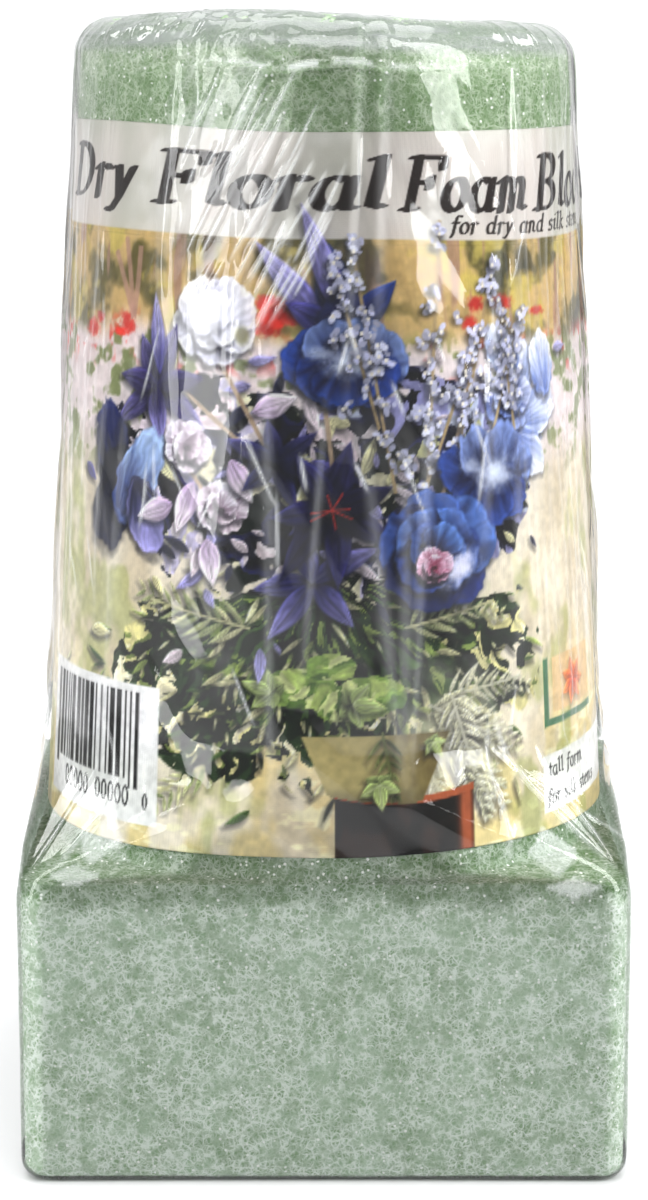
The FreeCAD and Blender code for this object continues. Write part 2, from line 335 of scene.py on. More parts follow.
def film_material():
    """Clear shrink film: see-through, glossy towards grazing angles, hazy where it is creased and where
    highlights are painted on as haze, and grey over the top with painted shade.
    """
    material, graph = new_material("clear_film")
    place = graph.object_place()
    stretched = graph.add("ShaderNodeMapping", {"Vector": place, "Scale": (1.0, 1.0, 0.25)}).outputs[0]
    normal = graph.bump(graph.noise(stretched, 2.2 * MM, 3.0), 0.3, 0.08 * MM)
    # Painted shade: over the top the haze is grey instead of white, where the film is also gathered in
    # several layers.
    shaded_gathered_top = graph.step(graph.height(place), FOAM_HIGH.z - 6.5 * MM, FOAM_HIGH.z - 4.5 * MM)
    mist = graph.blend(shaded_gathered_top, (0.93, 0.95, 0.96, 1.0), (0.40, 0.42, 0.425, 1.0))
    haze = graph.add("ShaderNodeBsdfDiffuse", {"Color": mist, "Roughness": 0.5})
    clear = graph.add("ShaderNodeBsdfTransparent", {"Color": (0.985, 0.99, 0.985, 1.0)})
    # Haze share from the points: real haze in creases, and painted highlights.
    milky_haze_and_painted_sheen = graph.span(graph.attribute("haze_and_painted_highlight", "Fac"), 0.006, 0.6)
    body = graph.add("ShaderNodeMixShader", {0: milky_haze_and_painted_sheen, 1: clear.outputs[0], 2: haze.outputs[0]})
    gloss = graph.add("ShaderNodeBsdfGlossy", {
        "Color": (1.0, 1.0, 1.0, 1.0), "Roughness": 0.06, "Normal": normal,
    })
    fresnel = graph.add("ShaderNodeFresnel", {"IOR": 1.47, "Normal": normal})
    graph.show("ShaderNodeMixShader", {0: fresnel.outputs[0], 1: body.outputs[0], 2: gloss.outputs[0]})
    return material


def plain_material(name, colour, roughness, grain_size, strength):
    """Single-colour surface with a fine mottle, for the floor and the glue."""
    material, graph = new_material(name)
    grain = graph.noise(graph.object_place(), grain_size, 3.0)
    mottle = graph.add("ShaderNodeValToRGB", {"Fac": grain})
    mottle.color_ramp.elements[0].color = linear(np.asarray(colour) * (1 - strength))
    mottle.color_ramp.elements[1].color = linear(np.asarray(colour))
    graph.show("ShaderNodeBsdfPrincipled", {"Base Color": mottle.outputs["Color"], "Roughness": roughness})
    return material


# ---------------------------------------------------------------- foam

FOAM_GRAIN = 0.42 * MM
CELL = 1.3 * MM
CELL_DEPTH = 0.22 * MM
RIGHT_DROP = 1.5 * MM
LEFT_DROP = 0.7 * MM


def slope_top(points):
    """Lower the sides of the top a little, the right one more: the foam was not cut quite level."""
    x, z = points[..., 0], points[..., 2]
    right, left = smooth_step(x, -8 * MM, 30 * MM), smooth_step(-x, 8 * MM, 30 * MM)
    drop = RIGHT_DROP * right + LEFT_DROP * left
    sloped = points.copy()
    sloped[..., 2] -= drop * smooth_step(z, FOAM_HIGH.z - 10 * MM, FOAM_HIGH.z - 1 * MM)
    return sloped


def add_cell_relief(piece):
    """Sink the cells into the surface, and keep each point's undisturbed place for the material."""
    tree = bpy.data.node_groups.new("cell_relief", "GeometryNodeTree")
    for direction in ("INPUT", "OUTPUT"):
        tree.interface.new_socket("Geometry", in_out=direction, socket_type="NodeSocketGeometry")
    graph = Graph(tree)
    enter = graph.add("NodeGroupInput").outputs[0]
    position = graph.add("GeometryNodeInputPosition").outputs[0]
    normal = graph.add("GeometryNodeInputNormal").outputs[0]
    named = {"Geometry": enter, "Name": "place", "Value": position}
    keep = graph.add("GeometryNodeStoreNamedAttribute", named, data_type="FLOAT_VECTOR", domain="POINT")
    wall = graph.walls(graph.warped(position, 1.6 * MM, 1.1 * MM), CELL, 0.30)
    sunk = graph.vector_math("SCALE", {0: normal, "Scale": graph.span(wall, -CELL_DEPTH, 0.0)})
    move = graph.add("GeometryNodeSetPosition", {"Geometry": keep.outputs["Geometry"], "Offset": sunk})
    graph.add("NodeGroupOutput", {0: move.outputs["Geometry"]})
    piece.modifiers.new("cells", "NODES").node_group = tree


def apply_modifiers(piece):
    graph = bpy.context.evaluated_depsgraph_get()
    finished = bpy.data.meshes.new_from_object(piece.evaluated_get(graph))
    piece.modifiers.clear()
    piece.data = finished


def make_foam():
    piece = bpy.data.objects.new("foam_body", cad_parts["foam_block"].data.copy())
    bpy.context.scene.collection.objects.link(piece)
    remesh = piece.modifiers.new("grid", "REMESH")
    remesh.mode = "VOXEL"
    remesh.voxel_size = FOAM_GRAIN
    remesh.use_smooth_shade = True
    add_cell_relief(piece)
    apply_modifiers(piece)
    points = np.empty(len(piece.data.vertices) * 3)
    piece.data.vertices.foreach_get("co", points)
    piece.data.vertices.foreach_set("co", slope_top(points.reshape(-1, 3)).ravel())
    piece.data.materials.clear()
    piece.data.materials.append(foam_material())
    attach(piece, "root")
    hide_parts("foam_block")
    return piece


# ---------------------------------------------------------------- film outline

def rounded_square_reach(azimuth, half, corner):
    """Distance from the axis to a rounded square, at azimuths in radians."""
    x = np.abs(np.sin(azimuth))
    y = np.abs(np.cos(azimuth))
    flat = half / np.maximum(x, y)
    centre = half - corner
    along = x * centre + y * centre
    off_square = 2 * centre * centre - along * along
    round_part = along + np.sqrt(np.maximum(corner * corner - off_square, 0.0))
    nearer_corner = flat * np.minimum(x, y) > centre
    return np.where(nearer_corner, round_part, flat)


def tent_reach(azimuth, share, half, corner, radius):
    """Distance to the hull between the square (share 0) and the column's circle (share 1)."""
    normal = np.linspace(0, 2 * math.pi, 1441)[:-1]
    support_square = (half - corner) * (np.abs(np.sin(normal)) + np.abs(np.cos(normal))) + corner
    support = (1 - share) * support_square + share * radius
    facing = np.cos(azimuth[:, None] - normal[None, :])
    reach = np.where(facing > 0.15, support[None, :] / np.maximum(facing, 0.15), 1.0)
    return reach.min(axis=1)


# ---------------------------------------------------------------- film

FILM_CORNER = 3.2 * MM
FILM_FOOT_ROUND = 2.8 * MM
FILM_TOP_ROUND = 5.0 * MM
FILM_UNDERSIDE = 0.03 * MM
FILM_TOP_GAP = 0.08 * MM
# Share of the radius left open at the middle of the film's underside and top.
POLE = 0.004


def film_columns():
    """Azimuths of the film's grid, closer together at the front and at the block's upright edges."""
    turn = np.linspace(-math.pi, math.pi, 7201)
    degrees = np.degrees(turn)
    from_corner = (degrees % 90) - 45
    front_share = 1.0 - smooth_step(np.abs(degrees), 80, 100)
    density = 1.0 + front_share + 1.2 * ridge(from_corner, 4.0)
    total = np.concatenate([[0], np.cumsum((density[1:] + density[:-1]) / 2)])
    return np.interp(np.linspace(0, total[-1], 641)[:-1], total, turn)


def film_rows(azimuth):
    """Rows of the film from the middle of its underside to the middle of its top."""
    half = BLOCK_HALF + FILM_SIDE
    square = rounded_square_reach(azimuth, half, FILM_CORNER)
    low, high = FILM_UNDERSIDE, FOAM_HIGH.z + FILM_TOP_GAP
    rows = []
    for share in np.linspace(0.0, 1.0, 22)[:-1]:
        reach = (square - FILM_FOOT_ROUND) * max(share, POLE)
        rows.append((reach, low))
    for angle in np.radians(np.linspace(0, 90, 8)):
        reach = square - FILM_FOOT_ROUND * (1 - math.sin(angle))
        rows.append((reach, low + FILM_FOOT_ROUND * (1 - math.cos(angle))))
    for height in np.linspace(low + FILM_FOOT_ROUND, SHOULDER, 62)[1:]:
        rows.append((square, height))
    ring = column_radius(TENT_TOP, FILM_OFFSET)
    for share in np.linspace(0.0, 1.0, 40)[1:]:
        height = SHOULDER + (TENT_TOP - SHOULDER) * share
        rows.append((tent_reach(azimuth, share, half, FILM_CORNER, ring), height))
    top_edge = high - FILM_TOP_ROUND
    for height in np.linspace(TENT_TOP, top_edge, 250)[1:]:
        rows.append((np.full_like(azimuth, column_radius(height, FILM_OFFSET)), height))
    edge_radius = column_radius(top_edge, FILM_OFFSET)
    for angle in np.radians(np.linspace(0, 90, 15))[1:]:
        reach = edge_radius - FILM_TOP_ROUND * (1 - math.cos(angle))
        rows.append((np.full_like(azimuth, reach), top_edge + FILM_TOP_ROUND * math.sin(angle)))
    flat_radius = edge_radius - FILM_TOP_ROUND
    for share in np.linspace(1.0, 0.0, 58)[1:]:
        rows.append((np.full_like(azimuth, flat_radius * max(share, POLE)), high))
    return ease_kinks(rows)


def ease_kinks(rows):
    """Round the film's bends over at the shoulder and at the top of the tent."""
    reach = np.stack([row[0] for row in rows])
    height = np.array([row[1] for row in rows])
    near_bend = np.maximum(ridge(height - TENT_TOP, 7 * MM), ridge(height - SHOULDER, 1.5 * MM))[:, None]
    for _ in range(60):
        eased = reach.copy()
        eased[1:-1] = (reach[:-2] + 2 * reach[1:-1] + reach[2:]) / 4
        reach = reach + (eased - reach) * near_bend
    return list(zip(reach, height))


def film_normals(points):
    """Outward normals of the film's grid."""
    round_way = np.roll(points, -1, axis=1) - np.roll(points, 1, axis=1)
    up_way = np.gradient(points, axis=0)
    normals = np.cross(round_way, up_way)
    length = np.linalg.norm(normals, axis=2, keepdims=True)
    return normals / np.maximum(length, 1e-12)


def ridge(distance, width):
    """Rounded ridge profile of height one."""
    return np.exp(-((distance / width) ** 2))


def facets(x, y, size, seed):
    """Random field from -1 to 1 made of flat triangles, as crumpled film is."""
    table = np.random.RandomState(seed).uniform(-1, 1, (97, 97))
    skewed = x / size + 0.5 * y / size
    gx, gy = skewed, y / size
    ix, iy = np.floor(gx).astype(int), np.floor(gy).astype(int)
    fx, fy = gx - ix, gy - iy
    low_half = fx + fy < 1
    corner = lambda dx, dy: table[(iy + dy) % 97, (ix + dx) % 97]
    first = corner(0, 0) * (1 - fx - fy) + corner(1, 0) * fx + corner(0, 1) * fy
    second = corner(1, 1) * (fx + fy - 1) + corner(1, 0) * (1 - fy) + corner(0, 1) * (1 - fx)
    return np.where(low_half, first, second)


def add_folds(rise, haze_and_painted_highlight, degrees, z, folds, scale, haze):
    """Narrow straight folds: each has an azimuth, height, lean, length, width and depth."""
    for azimuth, height, lean, length, width, depth in folds:
        near = np.abs((degrees - azimuth + 180) % 360 - 180) < 40
        along = (z - height) * near
        off = ((degrees - azimuth + 180) % 360 - 180) * scale - lean * along
        fade = near * np.exp(-((along / (0.5 * length)) ** 4))
        rise += depth * ridge(off, width) * fade
        haze_and_painted_highlight[:] = np.maximum(haze_and_painted_highlight, haze * ridge(off, width * 0.8) * fade)


# Painted highlights near the block's corners, milky patches where flat folds would catch the light: degrees
# from the corner towards the front or the back, height, half width and half height in millimetres, and
# milkiness.
GLINTS = ((8.0, 44.8, 3.2, 3.2, 0.40), (6.0, 40.4, 3.0, 1.6, 0.34))


def random_folds(rng, count, *limits):
    """Folds drawn at random, each of their six values between its own two limits."""
    return [tuple(rng.uniform(low, high) for low, high in limits) for _ in range(count)]


def add_column_folds(rng, rise, haze_and_painted_highlight, degrees, z, on_column):
    """Long soft folds down the column, and short slanting streaks that catch the light, their highlight
    partly painted on as milky haze.
    """
    scale = math.radians(1) * MIDDLE_RADIUS / MM
    folds = random_folds(rng, 70, (-180, 180), (60, 135), (-0.12, 0.12), (22, 70), (0.35, 1.1),
                         (0.08, 0.26))
    folds += random_folds(rng, 26, (42, 84), (65, 125), (-0.1, 0.1), (25, 70), (0.3, 0.8), (0.10, 0.28))
    folds += random_folds(rng, 16, (-84, -52), (70, 130), (-0.06, 0.06), (25, 60), (0.3, 0.8), (0.08, 0.2))
    streaks = random_folds(rng, 46, (-30, 2), (114, 138), (0.42, 0.62), (3.5, 10), (0.22, 0.42),
                           (0.12, 0.24))
    streaks += random_folds(rng, 34, (-75, 80), (60, 140), (-0.5, 0.5), (3, 9), (0.2, 0.35), (0.05, 0.11))
    fold_rise, fold_crease = np.zeros_like(z), np.zeros_like(z)
    add_folds(fold_rise, fold_crease, degrees, z, folds, scale, 0.12)
    add_folds(fold_rise, fold_crease, degrees, z, streaks, scale, 0.55)
    rise += on_column * fold_rise
    haze_and_painted_highlight[:] = np.maximum(haze_and_painted_highlight, on_column * fold_crease)


def add_tent_folds(rng, rise, haze_and_painted_highlight, degrees, z, on_tent):
    """Short folds that run from the block's four corners up to the column."""
    scale = 1.2 * math.radians(1) * MIDDLE_RADIUS / MM
    folds = []
    for side in range(4):
        corner = 45 + 90 * side
        near_corner = (corner - 16, corner + 16)
        folds += random_folds(rng, 4, near_corner, (44, 52), (-1.2, 1.2), (8, 20), (0.3, 0.6), (0.15, 0.3))
    fold_rise, fold_crease = np.zeros_like(z), np.zeros_like(z)
    add_folds(fold_rise, fold_crease, degrees, z, folds, scale, 0.4)
    rise += on_tent * fold_rise
    haze_and_painted_highlight[:] = np.maximum(haze_and_painted_highlight, on_tent * fold_crease)


def add_glints(haze_and_painted_highlight, degrees, reach, z):
    """Painted highlights: milky diamonds on the flat folds beside each of the block's corners."""
    for off_corner, height, wide, tall, strength in GLINTS:
        for corner in (-135, -45, 45, 135):
            aim = corner - off_corner * np.sign(corner)
            across = np.abs(np.radians(degrees - aim)) * reach / wide
            upward = np.abs(z - height + 0.02 * aim) / tall
            patch = 1 - smooth_step(across + upward, 0.86, 1.0)
            haze_and_painted_highlight[:] = np.maximum(haze_and_painted_highlight, strength * patch)


def film_relief(azimuth, points):
    """How far the film stands off its taut outline (mm), and how milky it is, per grid point; the milkiness
    is real haze in creases and painted highlights.
    """
    x, y, z = points[:, :, 0] / MM, points[:, :, 1] / MM, points[:, :, 2] / MM
    reach = np.hypot(points[:, :, 0], points[:, :, 1]) / MM
    degrees = np.degrees(azimuth)[None, :] + 0.0 * z
    arc = np.radians(degrees) * MIDDLE_RADIUS / MM
    tent, top = TENT_TOP / MM, FOAM_HIGH.z / MM
    rise, haze_and_painted_highlight = np.zeros_like(z), np.zeros_like(z)
    on_column = smooth_step(z, tent - 8, tent + 8) * smooth_step(reach, 20, 27)
    on_tent = smooth_step(z, tent - 13, tent - 9) * (1 - smooth_step(z, tent + 2, tent + 12))
    on_block = 1 - smooth_step(z, tent - 14, tent - 12)
    rng = np.random.RandomState(11)

    looseness = 0.16 + 0.26 * (1 - smooth_step(z, 95, 128))
    rise += on_column * looseness * facets(arc, z * 0.42, 6.5, 5)
    rise += on_column * 0.10 * facets(arc + 3, z * 0.5, 3.1, 6)
    add_column_folds(rng, rise, haze_and_painted_highlight, degrees, z, on_column)

    # The film is gathered into folds at the left of the top. All round the top's rounded edge it is made
    # milky, as a painted reflection of the light from above.
    bunched = ridge(degrees + 34, 36) * smooth_step(z, top - 9, top - 1) * smooth_step(reach, 6, 18)
    fold = 1 - np.abs(2 * clouds(x * 0.9 + 40 + z, y * 1.6 + 60 + 0.6 * z, 4.2, 17, 3) - 1) ** 0.7
    rise += bunched * (0.95 * fold - 0.5)
    haze_and_painted_highlight = np.maximum(haze_and_painted_highlight, bunched * (0.08 + 0.42 * smooth_step(fold, 0.62, 0.95)))
    on_top = smooth_step(z, top - 2.5, top - 0.5) * smooth_step(reach, 2, 8)
    # Painted reflection along the rounded top edge.
    bend = smooth_step(z, top - 5.2, top - 3.2)
    sheen = 0.50 + 0.34 * smooth_step(clouds(arc * 0.25, 8 * z - reach, 2.0, 37), 0.40, 0.7)
    haze_and_painted_highlight = np.maximum(haze_and_painted_highlight, bend * sheen)
    rise += on_top * (1 - bunched) * 0.10 * facets(x + 50, y + 50, 6.0, 19)

    rise += on_tent * 0.35 * facets(arc, z * 0.8, 5.0, 23)
    add_tent_folds(rng, rise, haze_and_painted_highlight, degrees, z, on_tent)
    along_side = np.where(np.abs(x) > np.abs(y), y, x)
    on_block_side = on_block * smooth_step(z, 2, 6)
    rise += 0.05 * on_block_side * facets(along_side + 60 * np.sign(x), z, 9.0, 29)

    # A ridge runs round the front just below the rounded top edge, with a painted highlight along it, put
    # on as haze.
    wave = 0.5 * np.sin(arc * 0.35) + 1.2 * (clouds(arc, z * 0.1, 4.0, 35) - 0.5)
    line = ridge(z - (top - 6.1) - 0.7 * wave, 0.38) * ridge(degrees + 4, 26)
    rise += 0.22 * line
    haze_and_painted_highlight = np.maximum(haze_and_painted_highlight, 0.75 * line * smooth_step(clouds(arc, z, 1.8, 39), 0.30, 0.5))
    add_glints(haze_and_painted_highlight, degrees, reach, z)
    # Painted reflection: milky rays on the column a little left of the front.
    rays = smooth_step(clouds(arc * 1.6 - z * 0.9, z * 0.25, 2.4, 33), 0.38, 0.7)
    fan = 0.26 * ridge(degrees + 24, 15) * smooth_step(z, 108, 122) * rays
    haze_and_painted_highlight = np.maximum(haze_and_painted_highlight, fan * on_column)
    # Milky haze and painted sheen down the left side of the column.
    milky_haze_and_painted_sheen = 0.10 * smooth_step(-degrees, 38, 75) * (degrees > -120) * on_column
    haze_and_painted_highlight = np.clip(np.maximum(haze_and_painted_highlight, milky_haze_and_painted_sheen * clouds(arc, z * 0.15, 3.0, 31) * 2), 0, 1)
    return np.clip(rise, -0.45, 1.2), haze_and_painted_highlight


def make_film():
    azimuth = film_columns()
    rows = film_rows(azimuth)
    x = np.stack([reach * np.sin(azimuth) for reach, _ in rows])
    y = np.stack([-reach * np.cos(azimuth) for reach, _ in rows])
    z = np.stack([np.full_like(azimuth, height) for _, height in rows])
    points = np.stack([x, y, z], axis=-1)
    rise, haze_and_painted_highlight = film_relief(azimuth, points)
    points = slope_top(points + film_normals(points) * (rise * MM)[..., None])
    faces = grid_faces(len(rows), len(azimuth), closed=True)
    piece = new_piece("film_skin", points.reshape(-1, 3), faces, film_material())
    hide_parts("shrink_film")
    layer = piece.data.attributes.new("haze_and_painted_highlight", "FLOAT", "POINT")
    layer.data.foreach_set("value", haze_and_painted_highlight.astype(np.float32).ravel())
    return piece


# ---------------------------------------------------------------- label

LAP_AZIMUTH = -152.0
LAP_LENGTH = 18.0
LAP_STEP = 1.2
EDGE_TURN = 0.18 * MM
PAPER_WAVES = 0.02 * MM
PAPER_WHITE = 0.93
PRINT_GRAIN = 0.16
PRINT_DEPTH = 1.12


class Print:
    """The label's printed colours, painted at the points of the sheet.

    Places are millimetres: across from the front centre (positive to the right, measured
    round the column at half height) and up from the label's lower edge.
    """

    def __init__(self, across, up):
        self.across = across
        self.up = up
        self.colour = np.ones((len(up), len(across), 3))

    def area(self, x, y, reach_x, reach_y=None):
        reach_y = reach_x if reach_y is None else reach_y
        first, last = np.searchsorted(self.across, (x - reach_x, x + reach_x))
        low, high = np.searchsorted(self.up, (y - reach_y, y + reach_y))
        place = (slice(low, high), slice(first, last))
        grid_x, grid_y = np.meshgrid(self.across[first:last], self.up[low:high])
        return place, grid_x, grid_y

    def lay(self, place, cover, colour):
        under = self.colour[place]
        self.colour[place] = under + (np.asarray(colour) - under) * cover[..., None]


SHADE = np.array([0.03, 0.03, 0.06])
FLORETS = 26
BUDS = 4
STAMENS = 7
LOOSE_LEAVES = 210
LOOSE_PETALS = 120
BADGE_PETALS = 7


def turned(gx, gy, x, y, turn):
    """Distances from a point along a direction in degrees, and to the left of it."""
    c, s = math.cos(math.radians(turn)), math.sin(math.radians(turn))
    return (gx - x) * c + (gy - y) * s, (gy - y) * c - (gx - x) * s


def paint_blob(sheet, x, y, wide, tall, colour, turn=0.0, soft=0.35, ragged=0.0, seed=0, strength=1.0):
    """Soft ellipse, its edge ragged by noise."""
    place, gx, gy = sheet.area(x, y, max(wide, tall) * 1.5 + 1.0)
    u, v = turned(gx, gy, x, y, turn)
    far = np.hypot(u / wide, v / tall)
    if ragged:
        far = far + ragged * (clouds(gx, gy, min(wide, tall) * 0.5, seed) - 0.5)
    sheet.lay(place, strength * (1.0 - smooth_step(far, 1.0 - soft, 1.0 + soft)), colour)


def paint_petal(sheet, x, y, turn, length, width, root, tip, bend=0.0, seed=0, shadow=0.55, fullness=0.8):
    """Pointed petal or leaf growing from a point: its shadow, then its shaded blade with fine veins."""
    place, gx, gy = sheet.area(x, y, length * 1.05 + 1.2)

    def blade(px, py, edge):
        along, left = turned(gx, gy, px, py, turn)
        t = along / length
        side = left - bend * length * t * t
        inside = np.clip(t, 0.001, 0.999)
        half = 0.5 * width * np.sin(np.pi * inside ** fullness) + 0.04
        reach = (half - np.abs(side)) / edge
        ends = np.minimum(t, 1.0 - t) * length / edge
        return inside, side / half, np.clip(np.minimum(reach, ends) + 0.5, 0.0, 1.0)

    _, _, cover = blade(x - 0.3, y - 0.55, 1.0)
    sheet.lay(place, shadow * cover, SHADE)
    t, across, cover = blade(x, y, 0.28)
    uneven = 0.3 * (cloud(gx, gy, max(width * 0.4, 0.6), seed) - 0.5)
    shade = mix(root, tip, smooth_step(t + uneven, 0.0, 0.9))
    sun = across * math.cos(math.radians(turn)) - math.sin(math.radians(turn)) * 0.25
    veins = 0.10 * np.sin(across * 11.0 + 5.0 * cloud(gx, gy, 1.2, seed + 1))
    light = 1.0 + 0.20 * sun - 0.22 * ridge(across, 0.10) + veins
    light = light + 0.25 * ridge(np.abs(across) - 0.85, 0.12) * (sun > 0)
    sheet.lay(place, cover, np.clip(shade * light[..., None], 0, 1))


def paint_cup(sheet, x, y, turn, wide, tall, inner, rim, seed=0):
    """Broad ruffled petal of an open flower: deep towards the middle, light along its rim."""
    place, gx, gy = sheet.area(x, y, max(wide, tall) * 1.25 + 1.2)
    size = min(wide, tall)

    def bowl(px, py):
        u, v = turned(gx, gy, px, py, turn)
        u, v = u / tall, v / wide
        broad_ruffle = 0.22 * (cloud(gx, gy, size * 0.45, seed) - 0.5)
        fine_ruffle = 0.12 * (cloud(gx, gy, size * 0.2, seed + 9) - 0.5)
        return u, v, np.hypot(u, v) + (broad_ruffle + fine_ruffle)

    _, _, far = bowl(x - 0.35, y - 0.65)
    sheet.lay(place, 0.5 * (1.0 - smooth_step(far, 0.86, 1.18)), SHADE)
    u, v, far = bowl(x, y)
    cover = 1.0 - smooth_step(far, 1.0 - 0.16 / size, 1.0 + 0.16 / size)
    fold = cloud(np.arctan2(v, u + 1.1) * 7.0, far * 1.2, 1.0, seed + 3)
    toward_rim = smooth_step(u * 0.8 + 0.75 * (fold - 0.5) + 0.1, -0.55, 0.85)
    shade = mix(inner, rim, toward_rim)
    streak = 1.0 + 0.05 * np.sin(np.arctan2(v, u + 1.3) * 38.0 + 6.0 * cloud(gx, gy, 1.4, seed + 5))
    lip = 0.22 * ridge(far - 0.90, 0.06) * fold
    shade = shade * streak[..., None] + lip[..., None] * np.asarray(rim)
    sheet.lay(place, cover, np.clip(shade, 0, 1))


def paint_rose(sheet, x, y, size, dark, middle, light, seed, rings=3):
    """Open rose of overlapping ruffled petals, outer ring first, lit from above."""
    rng = np.random.RandomState(seed)
    for ring in range(rings):
        share = 1.0 - ring / rings
        count = 5 if ring == 0 else 4
        start = rng.uniform(0, 360)
        for k in range(count):
            turn = start + 360.0 * k / count + rng.uniform(-14, 14)
            lift = math.sin(math.radians(turn))
            px = x + size * 0.52 * share * math.cos(math.radians(turn))
            py = y + size * 0.52 * share * lift * 0.85
            wide = size * (0.26 + 0.32 * share) * rng.uniform(0.85, 1.15)
            tall = size * (0.20 + 0.27 * share) * rng.uniform(0.85, 1.15)
            rim = mix(middle, light, np.clip(0.45 + 0.45 * lift + rng.uniform(-0.3, 0.3), 0, 1))
            inner = mix(dark, middle, np.clip(0.25 + 0.4 * lift, 0, 1) * 0.5)
            paint_cup(sheet, px, py, turn, wide, tall, inner, rim, seed * 31 + ring * 7 + k)
    paint_blob(sheet, x, y - 0.1 * size, size * 0.14, size * 0.1, np.asarray(dark) * 0.5, soft=0.6)


def paint_line(sheet, x, y, turn, length, width, colour, bend=0.0, strength=1.0):
    """Thin stem, vein or stamen."""
    place, gx, gy = sheet.area(x, y, length * 1.05 + 0.5)
    along, left = turned(gx, gy, x, y, turn)
    t = along / length
    side = np.abs(left - bend * length * t * t)
    cover = np.clip((0.5 * width - side) / 0.25 + 0.5, 0, 1) * (t > 0) * (t < 1)
    sheet.lay(place, strength * cover, colour)


def paint_sprig(sheet, x, y, turn, length, stem, floret, seed):
    """Thin stem with small pale florets on both sides."""
    rng = np.random.RandomState(seed)
    paint_line(sheet, x, y, turn, length, 0.45, stem)
    c, s = math.cos(math.radians(turn)), math.sin(math.radians(turn))
    for _ in range(FLORETS):
        t = rng.uniform(0.12, 1.0)
        side = rng.normal(0, 2.2 * (1.15 - t))
        px = x + length * t * c - side * s
        py = y + length * t * s + side * c
        paint_blob(sheet, px - 0.25, py - 0.45, 0.9, 0.7, SHADE, soft=0.7, strength=0.45)
        for _ in range(BUDS):
            tone = np.clip(floret * rng.uniform(0.72, 1.12), 0, 1)
            size = rng.uniform(0.32, 0.62)
            bud_x, bud_y = px + rng.normal(0, 0.45), py + rng.normal(0, 0.45)
            paint_blob(sheet, bud_x, bud_y, size, size * 0.7, tone, rng.uniform(0, 180), soft=0.3)
        paint_blob(sheet, px, py, 0.25, 0.25, rgb(246, 240, 226), soft=0.4)


def paint_fern(sheet, x, y, turn, length, pale, dark, seed, pairs=11, bend=0.0):
    """Feathery frond: a bent midrib with tapering leaflets on both sides."""
    rng = np.random.RandomState(seed)
    for k in range(pairs):
        t = (k + 0.6) / pairs
        heading = math.radians(turn + bend * t)
        px = x + length * t * math.cos(heading)
        py = y + length * t * math.sin(heading)
        size = length * 0.36 * (1.0 - 0.72 * t) * rng.uniform(0.75, 1.1)
        for side in (-1, 1):
            leaflet = math.degrees(heading) + side * rng.uniform(38, 62)
            tone = mix(dark, pale, rng.uniform(0.35, 1.0) ** 0.7)
            width = max(size * 0.15, 0.45)
            paint_petal(sheet, px, py, leaflet, size, width, tone * 0.8, tone, -side * 0.12, seed + k, 0.4)
    paint_line(sheet, x, y, turn + bend * 0.5, length * 0.9, 0.35, np.asarray(pale) * 0.8)


def paint_lily(sheet, x, y, size, dark, light, seed, petals=6, stamen=None, start=0.0):
    """Star-shaped lily of long pointed petals, each with a lit and a shaded half."""
    rng = np.random.RandomState(seed)
    order = rng.permutation(petals)
    for k in order:
        turn = start + 360.0 * k / petals + rng.uniform(-12, 12)
        length = size * rng.uniform(0.8, 1.15)
        tip = mix(dark, light, rng.uniform(0.35, 1.0))
        bend = rng.uniform(-0.2, 0.2)
        paint_petal(sheet, x, y, turn, length, size * 0.36, dark, tip, bend, seed * 13 + k)
        paint_line(sheet, x, y, turn, length * 0.8, 0.3, np.asarray(tip) * 0.6, bend * 0.8, 0.6)
    if stamen is not None:
        for k in range(STAMENS):
            turn = 51.0 * k + rng.uniform(0, 40)
            paint_line(sheet, x, y, turn, size * rng.uniform(0.14, 0.32), 0.24, stamen)


def paint_ivy(sheet, x, y, turn, size, seed):
    """Bright lobed leaf with light veins."""
    for k, (lobe, reach) in enumerate(((-125, 0.55), (125, 0.55), (-62, 0.8), (62, 0.8), (0, 1.0))):
        tone = LEAF_BRIGHT * (0.82 + 0.06 * k)
        paint_petal(sheet, x, y, turn + lobe, size * reach, size * 0.5, tone * 0.85,
                    np.clip(tone * 1.08, 0, 1), seed=seed + k, shadow=0.5, fullness=0.7)
    for lobe, reach in ((-62, 0.7), (62, 0.7), (0, 0.9)):
        paint_line(sheet, x, y, turn + lobe, size * reach, 0.25, rgb(222, 228, 190), strength=0.5)


NAVY = rgb(22, 26, 66)
ROYAL = rgb(38, 70, 160)
WHITE = rgb(240, 240, 250)
VIOLET = rgb(84, 80, 156)
LAVENDER = rgb(176, 172, 226)
BLUSH = rgb(232, 220, 228)
CORAL = rgb(196, 52, 48)
LEAF_DARK = rgb(20, 30, 16)
LEAF = rgb(74, 104, 48)
LEAF_LIME = rgb(168, 188, 104)
LEAF_BRIGHT = rgb(170, 186, 124)
LEAF_PALE = rgb(242, 238, 192)
LAWN = rgb(216, 205, 184)
LAWN_LIGHT = rgb(236, 228, 212)
LAWN_GOLD = rgb(230, 212, 156)
INK = rgb(38, 26, 22)
BACK_CENTRE = math.pi * MIDDLE_RADIUS / MM


def pick_tone(pick, tones):
    """First tone whose limit lies above a number from 0 to 1."""
    return next(tone for limit, tone in tones if pick < limit)


